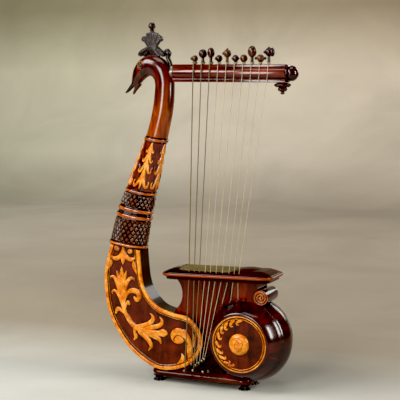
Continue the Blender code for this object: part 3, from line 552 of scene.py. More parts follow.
def arm_relief(x, z, edge_gap):
    """Height, gold and painted shade of the arm's carved front, from the distance to its edge."""
    round_off = 2.4
    rim = np.clip(edge_gap / round_off, 0, 1)
    height = -round_off * (1 - np.sqrt(1 - (1 - rim) ** 2))
    height += 0.7 * np.sin(np.pi * np.clip(edge_gap / BAND_WIDTH, 0, 1))
    ground = smooth_step(edge_gap, BAND_WIDTH - 0.4, BAND_WIDTH + 0.7)
    height -= GROUND_DEPTH * ground
    bead = np.exp(-((edge_gap - BAND_WIDTH - 2.3) / 0.75) ** 2)
    height += 1.5 * bead
    gold = 1 - smooth_step(edge_gap, BAND_WIDTH - 0.6, BAND_WIDTH + 0.2)
    gold = np.maximum(gold, smooth_step(bead, 0.35, 0.75) * 0.95)
    # Painted shade in the grooves on each side of the bead.
    groove = np.exp(-((edge_gap - BAND_WIDTH - 0.7) / 0.6) ** 2) + np.exp(-((edge_gap - BAND_WIDTH
                                                                             - 3.9) / 0.8) ** 2)
    leaf, nearness = stroke_field(x, z, list(ARM_STROKES.values()) + [VOLUTE_BAND, VOLUTE_DISC])
    cut_line, cut_gap = stroke_field(x, z, [VOLUTE_GROOVE])
    leaf = leaf - 1.1 * cut_line - 0.35 * np.exp(-(np.clip(cut_gap, 0, 9) / 0.8) ** 2)
    rosette_edge_shade = np.zeros(len(x))
    for centre_x, centre_z in ROSETTES:
        gap = np.hypot(x - centre_x, z - centre_z)
        inside = gap < ROSETTE_RADIUS + 1.2
        petals = 0.75 + 0.25 * np.cos(5 * np.arctan2(z - centre_z, x - centre_x))
        rose = np.where(gap < ROSETTE_RADIUS - 1.6, 1.2 * petals * np.cos(gap / ROSETTE_RADIUS * 1.3), 0.0)
        rose = np.maximum(rose, 0.9 * np.exp(-(gap / 1.5) ** 2))
        leaf = np.where(inside, rose, leaf)
        nearness = np.where(inside, np.where(gap < ROSETTE_RADIUS - 1.4, -1.0, 1.0), nearness)
        # Painted shade round the rim of each rosette.
        rosette_edge_shade = np.maximum(rosette_edge_shade, np.exp(-((gap - ROSETTE_RADIUS) / 0.8) ** 2))
    on_ground = edge_gap > BAND_WIDTH + 0.4
    leaf_gold = smooth_step(-nearness, -0.25, 0.25)
    height = np.where(on_ground | (nearness < 0), height + leaf * 2.1 * smooth_step(-nearness, -0.2, 0.8),
                      height)
    gold = np.maximum(gold, leaf_gold)
    # Painted shadow round the leaves on the ground; painted shade in the leaves' dips and in the volute's cut.
    painted_shadow_halo = np.exp(-(np.clip(nearness, 0, 50) / 1.9) ** 2) * (nearness > 0.15) * on_ground
    vein_shade = np.clip(0.5 - leaf, 0, 0.5) * leaf_gold + 0.9 * smooth_step(-cut_gap, -0.5, 0.1)
    soot = np.clip(np.maximum(np.maximum(groove * on_ground, painted_shadow_halo * 0.85), rosette_edge_shade), 0, 1) + vein_shade * 0.5
    soot = np.where(leaf_gold > 0.5, vein_shade * 0.7, soot)
    return height, gold, np.clip(soot, 0, 1)


def box_left(z):
    """Left edge of the soundbox at a height; the arm is cut away behind it."""
    hollow_x, hollow_z, hollow_radius = -74.4, 177.0, 41.4
    arc = hollow_x + np.sqrt(np.clip(hollow_radius ** 2 - (z - hollow_z) ** 2, 0, None))
    straight = np.interp(z, (29, 100, 145), (-66.0, -60.0, -47.8))
    return np.where(z > 145.3, arc, straight)


def build_arm():
    rail, edge = arm_edge()
    points, faces = fill_outline(edge, 0.95)
    x, z = points[:, 0], points[:, 1]
    gap = distance_to(rail, points)
    height, gold, soot = arm_relief(x, z, gap)
    front = np.column_stack([x, ARM_LOW[1] - height, z])
    behind = np.where(x > box_left(z), BOX_FRONT - 0.4, ARM_HIGH[1])
    behind = np.where((z < 30) & (x > -98), np.minimum(behind, -37.0), behind)
    rear_gap = np.clip(gap / 2.4, 0, 1)
    rear_line = np.exp(-((gap - 9) / 0.9) ** 2) * 0.9 * (behind > 0)
    back_y = behind - 2.4 * (1 - np.sqrt(1 - (1 - rear_gap) ** 2)) * (behind > 0) - rear_line
    back = np.column_stack([x, back_y, z])
    count, rim = len(points), len(edge)
    wall = front[:rim] + (0, 0.9, 0)
    # Painted shade: the back is darkened a little, its rim and the inner side wall nearly to black.
    rear_painted_shade = np.maximum(rear_line, 0.3)
    rear_painted_shade[:rim] = 0.85
    all_faces = list(faces) + [tuple(count + i for i in face[::-1]) for face in faces]
    for i in range(rim):
        j = (i + 1) % rim
        all_faces.append((i, j, 2 * count + j, 2 * count + i))
        all_faces.append((2 * count + i, 2 * count + j, count + j, count + i))
    values = {"gold": np.concatenate([gold, np.zeros(count + rim)]),
              "soot": np.concatenate([soot, rear_painted_shade, np.full(rim, 0.9)])}
    return outward(solid("look_carved_arm", np.vstack([front, back, wall]), all_faces, "carved", values,
                         sharp=60,
                         slot="mahogany", stands_for=("carved_arm",)))


# ---------------------------------------------------------------- the neck
NECK_LINE = ((-157, 250), (-153, 270), (-137.5, 335), (-111.5, 414), (-91, 478), (-77, 535), (-72.5, 582),
             (-73, 600))
SECTION_LEAN = 0.55
NECK_SAMPLES = spline(NECK_LINE, 40)
NECK_SLOPES = np.gradient(NECK_SAMPLES[:, 0], NECK_SAMPLES[:, 1])


def neck_frame(height):
    """Middle X of the neck at a height, and the side direction of its joints."""
    x = np.interp(height, NECK_SAMPLES[:, 1], NECK_SAMPLES[:, 0])
    slope = np.interp(height, NECK_SAMPLES[:, 1], NECK_SLOPES) * SECTION_LEAN
    length = math.hypot(1, slope)
    return x, (1 / length, -slope / length)


def neck_part(name, stations, material, relief=None, around=96, rows=24, slot="mahogany"):
    """Length of the neck through (height, half width, half depth) stations, with an optional relief."""
    stations = np.array(stations, float)
    heights = np.linspace(stations[0, 0], stations[-1, 0], rows)
    rings, golds, painted_shades = [], [], []
    for height in heights:
        wide = np.interp(height, stations[:, 0], stations[:, 1])
        deep = np.interp(height, stations[:, 0], stations[:, 2])
        x, (side_x, side_z) = neck_frame(height)
        ring = []
        for k in range(around):
            angle = 2 * math.pi * k / around
            lift, gold, soot = relief(angle, height, wide, deep) if relief else (0.0, 0.0, 0.0)
            reach = (wide + lift) * math.cos(angle)
            ring.append((x + side_x * reach, NECK_Y + (deep + lift) * math.sin(angle),
                         height + side_z * reach))
            golds.append(gold)
            painted_shades.append(soot)
        rings.append(ring)
    points, faces = skin(rings)
    return outward(solid(name, points, faces, material, {"gold": golds, "soot": painted_shades}, slot=slot,
                         stands_for=(name.replace("look_", ""),)))


def diamonds(first, last, around_count, rows):
    def relief(angle, height, wide, deep):
        across = angle / (2 * math.pi) * around_count
        up = (height - first) / (last - first) * rows
        one, two = (across + up) % 1.0, (across - up) % 1.0
        edge = max(abs(one - 0.5), abs(two - 0.5)) * 2
        rim = min(height - first, last - height)
        fade = min(max(rim / 1.5, 0), 1)
        # Painted shade in the grooves between the diamonds.
        return (1 - edge ** 2) * 3.0 * fade - 1.8, 0.0, min(max((edge - 0.56) / 0.3, 0), 1)
    return relief


def leaf_strokes(pitch):
    """One acanthus leaf, hanging down from the collar, in millimetres from its top; pitch is its share."""
    one_side = []
    for top, drop, reach, width in ((3, 15, 5.0, 1.6), (17, 19, 6.8, 2.0), (34, 22, 8.4, 2.3)):
        one_side.append(((0.8, -top, width * 0.8), (reach * 0.5, -top - drop * 0.55, width * 1.1),
                         (reach * 0.95, -top - drop, width), (reach * 1.35, -top - drop + 0.5, width * 0.7),
                         (reach * 1.42, -top - drop + 4.6, width * 0.3)))
    one_side.append(((1.2, -54, 1.8), (3.4, -68, 2.6), (7.0, -79, 2.8), (pitch * 0.38, -84, 2.5),
                     (pitch * 0.48, -80, 1.8), (pitch * 0.47, -74, 1.2), (pitch * 0.40, -73, 0.6)))
    other = [tuple((-x, z, w) for x, z, w in knots) for knots in one_side]
    spine = ((0, 0, 2.0), (0, -28, 2.0), (0, -52, 2.6), (0, -72, 3.2), (0, -88, 1.0))
    return one_side + other + [spine]


def leaf_relief(first, last, leaves=5, turn=-1.42):
    """Relief of the leaves around the conical section, sampled from one leaf's strokes."""
    def radius_at(height):
        return np.interp(height, (first, last), (29.0, 22.0))
    strokes = leaf_strokes(30.0)
    cache = {}

    def relief(angle, height, wide, deep):
        row = cache.get(height)
        if row is None:
            radius = radius_at(height)
            angles = np.linspace(0, 2 * math.pi, LEAF_AROUND, endpoint=False)
            share = 2 * math.pi / leaves
            local = (angles - turn + share / 2) % share - share / 2
            x = local * radius
            z = np.full(len(x), (height - last) * 0.98)
            rise, nearness = stroke_field(x, z, strokes)
            gold = smooth_step(-nearness, -0.3, 0.3)
            # Painted shadow round each leaf.
            painted_shadow_halo = np.exp(-(np.clip(nearness, 0, 50) / 1.2) ** 2) * (nearness > 0.2)
            middle_gap = np.abs(np.abs(local) - share / 2) * radius
            cushion = np.clip(1 - (middle_gap / 7.0) ** 2 - ((height - first - 30) / 19) ** 2, 0,
                              1) ** 0.5 * 2.0
            lift = np.where(nearness < 0, rise * 1.9 + 0.4, cushion - 0.6)
            row = cache[height] = (lift, gold, painted_shadow_halo * 0.9)
        index = int(round(angle / (2 * math.pi) * LEAF_AROUND)) % LEAF_AROUND
        return row[0][index], row[1][index], row[2][index]
    return relief


LEAF_AROUND = 260


def ring_bands(height, thick):
    """Copper-gold on the crown of each bead, painted shade in the hollows beside it."""
    def relief(angle, level, wide, deep):
        share = abs(level - height) / (thick / 2)
        return 0.0, float(1 - smooth_step(np.array(share), 0.42, 0.62)), float(smooth_step(np.array(share),
                                                                                           0.5, 0.9))
    return relief


def ring_part(name, height, thick, wide, deep, bulge):
    """Turned ring: a raised bead between two narrow fillets that carry painted shade."""
    stations = []
    for step in range(25):
        t = step / 24 * 2 - 1
        swell = -bulge + bulge * (1 - min(abs(t) / 0.66, 1) ** 2) ** 0.5
        fillet = 0.9 * math.exp(-((abs(t) - 0.88) / 0.09) ** 2)
        stations.append((height + t * thick / 2, wide + swell + fillet, deep + swell + fillet))
    neck_part(name, stations, "copper", ring_bands(height, thick), rows=33, slot="gilded_wood")


def build_neck():
    ring_part("look_neck_ring_lower", 268.5, 8, 42, 27, 2.6)
    neck_part("look_diamond_sleeve_lower", ((272.9, 38.6, 25), (296, 37.6, 24.5), (318.4, 36.2, 24)),
              "diamond",
              diamonds(273, 318.4, 22, 3.1), around=352, rows=92, slot="ebonised_wood")
    ring_part("look_neck_ring_middle_lower", 325, 12, 38.5, 27, 3.2)
    ring_part("look_neck_ring_middle_upper", 338, 12, 37.5, 26.5, 3.2)
    neck_part("look_diamond_sleeve_upper", ((344.4, 34.6, 24.5), (357, 33.1, 24), (369.2, 31.6, 23.5)),
              "diamond", diamonds(344.4, 369.2, 20, 1.8), around=320, rows=54, slot="ebonised_wood")
    ring_part("look_neck_ring_upper", 374, 8.5, 33, 26, 2.6)
    neck_part("look_leaf_section", ((378.8, 30.6, 25), (402, 28.6, 24), (428, 26.2, 23), (452, 23.8, 22.5),
                                    (472.2, 22.0, 21.8)), "leaves", leaf_relief(378.8, 472.2),
              around=LEAF_AROUND, rows=110)
    ring_part("look_neck_collar", 477, 9, 23.8, 23.5, 2.0)


# ---------------------------------------------------------------- the swan's head and its crest
HEAD_STATIONS = (
    (-72.5, 582.3, 19.0, 18.5), (-75.5, 600, 20.0, 18.5), (-86, 614.5, 21.0, 18.0), (-100, 620, 20.6, 17.5),
    (-113, 616.5, 19.0, 16.5), (-123, 608, 16.4, 15.0), (-130, 597.5, 12.6, 12.5), (-135, 587.5, 9.0, 9.5),
    (-139, 580.5, 6.6, 7.5))


def oval_ring(x, z, direction, wide, deep, around):
    side = np.array((direction[1], -direction[0]))
    return [(x + side[0] * wide * math.cos(a), NECK_Y + deep * math.sin(a), z + side[1] * wide * math.cos(a))
            for a in np.linspace(0, 2 * math.pi, around, endpoint=False)]


def sweep(stations, around=40, per=6):
    """Closed skin over (x, z, half width, half depth) stations in the neck's plane."""
    line = spline(stations, per)
    rings = []
    for i, (x, z, wide, deep) in enumerate(line):
        ahead = line[min(i + 1, len(line) - 1), :2] - line[max(i - 1, 0), :2]
        ahead = ahead / np.linalg.norm(ahead)
        if i == 0:
            ahead = np.array((-0.02, 1.0))
        rings.append(oval_ring(x, z, ahead, wide, deep, around))
    return skin(rings)


def merged(parts):
    points, faces = [], []
    for more_points, more_faces in parts:
        base = len(points)
        points.extend(more_points)
        faces.extend(tuple(base + i for i in face) for face in more_faces)
    return points, faces


def fused(piece, voxel, smooth=2):
    """One even skin over a piece made of overlapping closed forms."""
    remesh = piece.modifiers.new("fuse", "REMESH")
    remesh.mode = "VOXEL"
    remesh.voxel_size = voxel * MM
    remesh.use_smooth_shade = True
    if smooth:
        relax = piece.modifiers.new("relax", "SMOOTH")
        relax.factor = 0.5
        relax.iterations = smooth
    evaluated = piece.evaluated_get(bpy.context.evaluated_depsgraph_get())
    mesh = bpy.data.meshes.new_from_object(evaluated)
    old = piece.data
    piece.modifiers.clear()
    piece.data = mesh
    bpy.data.meshes.remove(old)
    return piece


def ellipsoid(centre, radii, around=24, rows=14):
    rings = []
    for k in range(1, rows):
        polar = math.pi * k / rows
        rings.append([(centre[0] + radii[0] * math.sin(polar) * math.cos(a),
                       centre[1] + radii[1] * math.sin(polar) * math.sin(a),
                       centre[2] + radii[2] * math.cos(polar))
                      for a in np.linspace(0, 2 * math.pi, around, endpoint=False)])
    return skin(rings)


def ring_tube(centre, radius, thick, squash=1.0, around=36):
    """Upright ring lying in the neck's plane, for the eyelids."""
    rings = []
    for k in range(around):
        turn = 2 * math.pi * k / around
        out = np.array((math.cos(turn), 0, math.sin(turn) * squash))
        rings.append([np.array(centre) + out * (radius + thick * math.cos(a)) + np.array((0,
                                                                                          thick * math.sin(a),
                                                                                          0))
                      for a in np.linspace(0, 2 * math.pi, 10, endpoint=False)])
    count = 10
    points = [p for ring in rings for p in ring]
    faces = []
    for level in range(around):
        following = (level + 1) % around
        for k in range(count):
            n = (k + 1) % count
            faces.append((level * count + k, level * count + n, following * count + n, following * count + k))
    return points, faces


EYE = (-116.5, 620.2)


def head_parts():
    skull = sweep(HEAD_STATIONS)
    upper_bill = sweep(((-131, 592, 8.0, 8.5), (-138, 585.5, 5.6, 7.0), (-145, 578.5, 3.8, 5.6),
                        (-151.5, 571.5, 2.8, 4.4), (-156.5, 567.6, 1.7, 2.6), (-158.2, 566.2, 0.6, 1.0)), 24)
    lower_bill = sweep(((-128, 587, 7.0, 7.0), (-133, 578.5, 4.6, 5.6), (-137, 571.5, 2.9, 4.2),
                        (-140, 566.0, 2.2, 3.0), (-141.6, 563.6, 0.8, 1.2)), 24)
    parts = [skull, upper_bill, lower_bill]
    for side in (-1, 1):
        parts.append(ellipsoid((-130, NECK_Y + side * 8.4, 600), (5.5, 4.4, 8.0)))
    return parts


def shaft_part():
    """The neck's plain round length, drawn up into the head so that one skin covers both."""
    rings = []
    for height, wide, deep in spline(((482.2, 21.2, 21), (505, 20.4, 20.2), (530, 20.2, 19.6), (556, 19.8,
                                                                                                19),
                                      (581.9, 19.0, 18.5), (588, 19.0, 18.5)), 6):
        x, (side_x, side_z) = neck_frame(height)
        rings.append([(x + side_x * wide * math.cos(a), NECK_Y + deep * math.sin(a),
                       height + side_z * wide * math.cos(a))
                      for a in np.linspace(0, 2 * math.pi, 48, endpoint=False)])
    return skin(rings)


def build_head():
    points, faces = merged(head_parts() + [shaft_part()])
    head = solid("look_swan_head", points, faces, "neck", slot="mahogany", stands_for=("swan_head",
                                                                                       "neck_shaft"))
    fused(head, 0.8, 3)
    for side, label in ((-1, "front"), (1, "back")):
        points, faces = ellipsoid((EYE[0], NECK_Y + side * 14.8, EYE[1]), (3.5, 2.8, 3.5), 28, 18)
        outward(solid("eye_" + label, points, faces, "eye", slot="ebonised_wood"))
        points, faces = merged([ring_tube((EYE[0], NECK_Y + side * 15.4, EYE[1]), 4.8, 0.9),
                                ring_tube((EYE[0], NECK_Y + side * 14.9, EYE[1]), 7.7, 1.1)])
        outward(solid("eyelid_" + label, points, faces, "eyelid", slot="mahogany"))


def petal(path, deep):
    """Fluted lobe of the crest: (x, z, half width) knots with its half depth along Y."""
    line = spline(path, 6)
    rings = []
    for i, (x, z, wide) in enumerate(line):
        ahead = line[min(i + 1, len(line) - 1), :2] - line[max(i - 1, 0), :2]
        ahead = ahead / np.linalg.norm(ahead)
        side = np.array((ahead[1], -ahead[0]))
        share = i / (len(line) - 1)
        depth = deep * (1.0 - 0.35 * share)
        ring = []
        for a in np.linspace(0, 2 * math.pi, 20, endpoint=False):
            pinch = 1.0 - 0.35 * math.exp(-(math.cos(a) / 0.35) ** 2)
            ring.append((x + side[0] * wide * math.cos(a), NECK_Y + depth * math.sin(a) * pinch,
                         z + side[1] * wide * math.cos(a)))
        rings.append(ring)
    return skin(rings)


def mirrored(path, about):
    return tuple((2 * about - x, z, w) for x, z, w in path)


CREST_X = -99.0
CREST_EDGE = ((-78, 640), (-79, 648), (-84, 655), (-86, 661), (-80, 667), (-77.5, 674), (-82, 679), (-90,
                                                                                                     683),
              (-95, 686), (-104, 686), (-109, 682), (-116, 674), (-113, 667), (-108, 660), (-111, 654),
              (-123, 646), (-124, 638), (-112, 635), (-100, 636), (-88, 634))


def crest_core():
    """Solid middle of the palmette, a little thinner than its flutes."""
    edge = spline(CREST_EDGE, 5, closed=True)
    middle_x, middle_z = edge[:, 0].mean(), edge[:, 1].mean()
    rings = []
    for depth, scale in ((-3.4, 0.80), (-3.0, 0.90), (-2.0, 0.94), (2.0, 0.94), (3.0, 0.90), (3.4, 0.80)):
        rings.append([(middle_x + (x - middle_x) * scale, NECK_Y + depth, middle_z + (z - middle_z) * scale)
                      for x, z in edge])
    return skin(rings)


def build_crest():
    """Palmette of fluted lobes: an upper fan, a waist and a lower fan that hugs the crown."""
    upper = [((-99, 650, 4.2), (-99, 668, 4.8), (-99, 680, 4.4), (-99, 686.4, 2.6)),
             ((-101, 650, 2.6), (-105, 666, 3.4), (-108, 677, 3.6), (-110, 682, 2.4)),
             ((-102, 648, 2.2), (-108.5, 660, 3.0), (-114, 669, 3.6), (-117.5, 673.5, 2.8), (-119.5, 669.5,
                                                                                             2.0),
              (-116.8, 666.6, 1.6))]
    lower = [((-99, 656, 3.8), (-99, 648, 4.6), (-99, 642.5, 4.4)),
             ((-101, 656, 2.4), (-106, 649, 3.2), (-111, 643, 3.6), (-115, 640.5, 2.8)),
             ((-102, 657, 2.2), (-109, 653.5, 3.0), (-117, 649.5, 3.6), (-124, 645, 3.6), (-127, 640.5, 2.4),
              (-123.2, 638.8, 1.8))]
    parts = [crest_core()]
    for group in (upper, lower):
        for index, path in enumerate(group):
            depth = 9.8 - 0.8 * index
            parts.append(petal(path, depth))
            if index:
                other = mirrored(path, CREST_X)
                if group is lower:
                    other = tuple((min(x, -76.5), z - (2.5 if x > -84 else 0), w) for x, z, w in other)
                parts.append(petal(other, depth))
    points, faces = merged(parts)
    crest = solid("look_crest", points, faces, "crest", slot="ebonised_wood", stands_for=("crest",))
    fused(crest, 0.55, 1)
    tip_x = middle("crest_finial")[0]
    lathe("look_crest_finial", ((0.2, 702.5), (3.4, 701.6), (5.8, 699.3), (7.0, 696), (7.0, 694.4), (6.0,
                                                                                                     691.8),
                                (3.6, 690.0), (3.2, 689.3), (4.6, 688.6), (4.8, 687.8), (4.2, 686.6), (0.2,
                                                                                                       686.4)),
          (tip_x, NECK_Y, 0), "Z", "turned", 40, 3, slot="ebonised_wood", stands_for=("crest_finial",))
    knob = ellipsoid((-64.5, NECK_Y, 643.2), (5.6, 7.5, 5.6))
    stalk = sweep(((-59.8, 618.3, 4.2, 4.8), (-61.5, 626, 4.0, 4.8), (-65.5, 634, 4.4, 5.2), (-64, 643, 4.8,
                                                                                              5.6)), 20)
    hook = sweep(((-64, 649.5, 2.4, 5.0), (-69.5, 648.5, 3.0, 5.4), (-73.5, 643, 3.2, 5.4), (-72.5, 637, 2.4,
                                                                                             4.2)), 18)
    points, faces = merged([knob, stalk, hook])
    scroll = solid("look_crest_scroll", points, faces, "crest", slot="ebonised_wood",
                   stands_for=("crest_scroll",))
    fused(scroll, 0.6, 1)


# ---------------------------------------------------------------- crossbar, pegs and strings
def build_crossbar():
    strip_half, strip_reach = 12.0, (BAR_HIGH[2] - BAR_LOW[2]) / 2
    quarter = []
    for degrees in np.linspace(0, 50, 10):
        a = math.radians(degrees)
        quarter.append((BAR_HALF_DEPTH * math.cos(a), 12.6 * math.sin(a)))
    quarter += [(9.6, 10.6), (10.0, 11.4), (strip_half - 0.4, 11.7), (strip_half, 12.3), (strip_half, 15.6),
                (strip_half - 0.9, strip_reach)]
    top = quarter + [(-y, z) for y, z in quarter[::-1]]
    section = top + [(y, -z) for y, z in top[::-1][1:-1]]
    left, right = -53.0, BAR_HIGH[0]
    rings = []
    for x, shrink in ((left, 0.80), (left + 1.2, 0.93), (left + 3, 1.0), (right - 0.8, 1.0), (right, 0.97)):
        rings.append([(x, NECK_Y + y * shrink, BAR_Z + z * shrink) for y, z in section])
    tenon = [[(x, NECK_Y + r * math.cos(a), BAR_Z + r * math.sin(a)) for a in np.linspace(0, 2 * math.pi, 40,
                                                                                     endpoint=False)]
             for x, r in ((-80, 7.6), (-66, 7.8), (-62, 8.0), (-58, 9.2), (-53.5, 11.5), (-51, 11.8))]
    points, faces = skin(rings)
    outward(solid("look_crossbar", points, faces, "bar", sharp=32, slot="mahogany", stands_for=("crossbar",)))
    points, faces = skin(tenon)
    outward(solid("bar_tenon", points, faces, "silver", sharp=32, slot="mahogany"))
    end = span("bar_end_knob")[1][0]
    start = span("bar_end_knob")[0][0]
    lathe("look_bar_end_knob", ((0.3, end), (4.4, end - 0.5), (9.4, end - 3.2), (13.0, end - 7.6), (14.4,
                                                                                                    end
                                                                                                    - 12.6),
                                (13.2, end - 16.4), (12.4, end - 17.4), (15.8, end - 18.0), (16.4,
                                                                                             end - 19.0),
                                (16.0, start + 0.3), (15.4, start), (0.3, start)),
          (0, NECK_Y, BAR_Z), "X", "knob", 56, 3, slot="mahogany", stands_for=("bar_end_knob",))
    x = middle("pendant_finial")[0]
    base = span("pendant_finial")[1][2]
    lathe("look_pendant_finial", ((0.3, base), (9.0, base), (11.0, base - 0.8), (15.0, base - 3.0), (15.5,
                                                                                                     base
                                                                                                     - 5.0),
                                  (12.5, base - 8.0), (7.8, base - 9.2), (7.4, base - 9.8), (8.8,
                                                                                             base - 12.0),
                                  (7.6, base - 15.0), (4.0, base - 16.8), (3.2, base - 17.6), (3.9,
                                                                                               base - 19.4),
                                  (2.6, base - 21.2), (0.3, base - 21.8)),
          (x, NECK_Y, 0), "Z", "turned", 40, 3, slot="ebonised_wood", stands_for=("pendant_finial",),
          flutes=(10, 0.10))


PEG_STEM = 2.6


def peg_centre(number):
    low, high = span("tuning_peg_%d" % number)
    joint = [j for j in frame["joints"] if j["child"] == "peg_%d" % number][0]
    return joint["pos_m"][0] / MM, low, high


def head_of_revolution(profile, centre, direction, around=28):
    """Turned head along any direction, as points and faces; profile pairs are (radius, distance)."""
    direction = np.array(direction, float) / np.linalg.norm(direction)
    side = np.cross(direction, (0, 0, 1.0) if abs(direction[2]) < 0.9 else (1.0, 0, 0))
    side = side / np.linalg.norm(side)
    other = np.cross(direction, side)
    rings = []
    for radius, along in spline(profile, 3):
        rings.append([np.array(centre) + direction * along + radius * (math.cos(a) * side + math.sin(a)
                                                                       * other)
                      for a in np.linspace(0, 2 * math.pi, around, endpoint=False)])
    return skin(rings)


# Each peg's head: height over the bar, half width, half height, reach to its left and to its right
PEG_HEADS = {1: (11.0, 6.2, 6.2, 8.9, 0.0), 2: (20.0, 8.2, 8.3, 0.0, 0.0), 3: (21.6, 7.0, 9.8, 0.0, 0.0),
             4: (11.0, 6.6, 6.6, 8.8, 0.0), 5: (20.2, 7.5, 7.6, 9.8, 0.0), 6: (11.0, 6.4, 6.4, 7.6, 7.6),
             7: (11.0, 7.2, 7.2, 0.0, 0.0), 8: (23.4, 8.3, 10.9, 0.0, 0.0), 9: (11.0, 7.2, 7.2, 11.4, 11.4),
             10: (22.4, 7.6, 7.8, 10.6, 0.0)}
PALE_PEGS = (1, 5, 7, 8, 9)


def build_peg(number):
    x, low, _ = peg_centre(number)
    above, wide, tall, left, right = PEG_HEADS[number]
    height = BAR_TOP + above
    centre = np.array((x, NECK_Y, height))
    foot, bar = low[2] - height, BAR_TOP - height
    parts = [head_of_revolution(((2.2, foot), (PEG_STEM, foot + 1), (PEG_STEM, bar - 8), (PEG_STEM,
                                                                                          bar + 4.2),
                                 (3.4, bar + 4.8), (3.4, bar + 5.6), (2.7, bar + 6.4), (2.9, 0.0)), centre,
                                (0, 0, 1), 22)]
    points, faces = ellipsoid(centre, (wide, wide * 0.92, tall), 32, 22)
    parts.append((points, faces))
    leftward = np.array((-0.914, -0.407, 0.0))
    for reach, direction in ((left, leftward), (right, -leftward)):
        if reach:
            neck = wide * 0.8
            parts.append(head_of_revolution(((2.6, 0.0), (2.6, neck), (1.9, neck + 1.2), (3.0, reach - 3.4),
                                             (2.6, reach - 1.4), (0.3, reach)), centre, direction, 20))
    if number not in (3, 8):
        parts.append(head_of_revolution(((2.4, 0.0), (2.4, tall - 1.0), (1.7, tall + 0.2), (2.1, tall + 1.0),
                                         (1.4, tall + 1.8), (0.3, tall + 2.1))
                                        if above > 20 else
                                        ((1.6, 0.0), (1.6, tall - 0.6), (0.3, tall - 0.1)), centre, (0, 0, 1),
                                        18))
    if number == 10:
        parts.append(head_of_revolution(((0.3, -10.5), (5.0, -10.0), (7.9, -7.4), (8.0, -4.4), (6.0, -2.0),
                                         (0.3, 0.0)), centre, leftward, 28))
    points, faces = merged(parts)
    name = "tuning_peg_%d" % number
    outward(solid("look_" + name, points, faces, "peg_light" if number in PALE_PEGS else "turned",
                  body="peg_%d" % number, slot="pegs", stands_for=(name,)))


# ---------------------------------------------------------------- strings and their pins
BLOCK_PINS = ((-13.5, 34), (2, 49), (5, 36.5), (11, 47.5), (17.5, 52.5), (23.5, 57.5), (28.5, 61.5), (26, 36),
              (37.5, 38.5))
TREBLE_PINS = tuple((DRUM_X + 80.3 * math.cos(math.radians(a)), DRUM_Z + 80.3 * math.sin(math.radians(a)))
                    for a in (122, 108, 97))
STRING_HOLES = (-10.1, 0.8, 11.4, 23.3, 34.0, 45.7, 58.4, 71.8, 82.2, 91.7)
STRING_RADII = (1.0, 0.94, 0.88, 0.62, 0.62, 0.6, 0.58, 0.58, 0.55, 0.52)


def string_path(index):
    """Pin, hole in the plate, front and top edge of the crossbar, then a coil round the peg."""
    radius = STRING_RADII[index]
    pins = BLOCK_PINS[:7] + TREBLE_PINS
    x, peg_x = -5.8 + 16.72 * index, peg_centre(index + 1)[0]
    front, edge = NECK_Y - BAR_HALF_DEPTH - radius - 0.3, NECK_Y - 12.0
    path = [(pins[index][0], -58.0 if index < 7 else -41.5, pins[index][1] + 2.5 + radius),
            (STRING_HOLES[index], -46.5, 217.0), (x, front, BAR_Z - 2), (x, front + 0.2, BAR_Z + 3),
            (x, front + 1.4, BAR_TOP - 2.2), (x, edge - 0.9 - radius, BAR_TOP + 0.2),
            (x, edge + 0.2, BAR_TOP + 0.75 + radius)]
    reach = PEG_STEM + 0.35 + radius
    for k in range(33):
        angle = 2 * math.pi * 1.15 * k / 32
        path.append((peg_x + reach * math.cos(angle), NECK_Y + reach * math.sin(angle),
                     BAR_TOP + 0.9 + radius + 2.1 * k / 32))
    return path, radius


def build_strings():
    for index in range(STRING_COUNT):
        path, radius = string_path(index)
        tube_piece("look_string_%d" % (index + 1), path, radius,
                   "thick_string" if index < 3 else "thin_string", 12,
                   slot="strings", stands_for=("string_%d" % (index + 1),))


def build_pins():
    """Metal heads and shanks over the hitch pins of the block and of the treble rail."""
    for name, spots, front, root in (("block_pins", BLOCK_PINS, -62.0, -37.5), ("rail_pins", TREBLE_PINS,
                                                                                -44.5, -30.0)):
        parts = []
        for x, z in spots:
            parts.append(ellipsoid((x, front, z), (2.9, 2.3, 2.9), 18, 12))
            parts.append(head_of_revolution(((1.75, 0.0), (1.7, front - root + 0.5), (1.6, front - root)), (x,
                                                                                                            root, z),
                                            (0, 1, 0), 16))
        points, faces = merged(parts)
        outward(solid(name, points, faces, "brass" if name == "block_pins" else "panel",
                      slot="ebonised_wood"))


# ---------------------------------------------------------------- top plate with its woven panel
PLATE = (-71.0, 159.5, 47.0, 24.0)     # left, right, half depth and corner radius
PLATE_Y, PLATE_SLOPE, PLATE_PIVOT = -10.0, 0.022, -47.79
BED = (-38.0, 80.0, 32.5, 16.0)        # the same for the woven panel's bed
DOME = ((3.6, 221.2), (4.4, 222.3), (8, 224.2), (14, 226.8), (22, 229.4), (32, 231.0), (47, 231.6))


def rounded_ring(left, right, half, corner, inset, z, per_corner=14, per_side=36):
    left, right, half = left + inset, right - inset, half - inset
    corner = max(min(corner - inset * 0.85, half, (right - left) / 2), 0.8)
    centres = ((right - corner, half - corner, 0), (left + corner, half - corner, 90),
               (left + corner, corner - half, 180), (right - corner, corner - half, 270))
    ring = []
    for index, (x, y, first) in enumerate(centres):
        for k in range(per_corner):
            a = math.radians(first + 90 * k / (per_corner - 1))
            ring.append(np.array((x + corner * math.cos(a), y + corner * math.sin(a), z)))
        nx, ny, nfirst = centres[(index + 1) % 4]
        start = ring[-1]
        a = math.radians(nfirst)
        end = np.array((nx + corner * math.cos(a), ny + corner * math.sin(a), z))
        ring.extend(start + (end - start) * t for t in np.linspace(0, 1, per_side + 2)[1:-1])
    return ring


def seated(points):
    """Shift points of the plate to its own middle plane and onto the box's sloping top."""
    return [(x, y + PLATE_Y, z + PLATE_SLOPE * (x - PLATE_PIVOT)) for x, y, z in points]


def dome(inset):
    return float(np.interp(inset, [d[0] for d in DOME], [d[1] for d in DOME]))


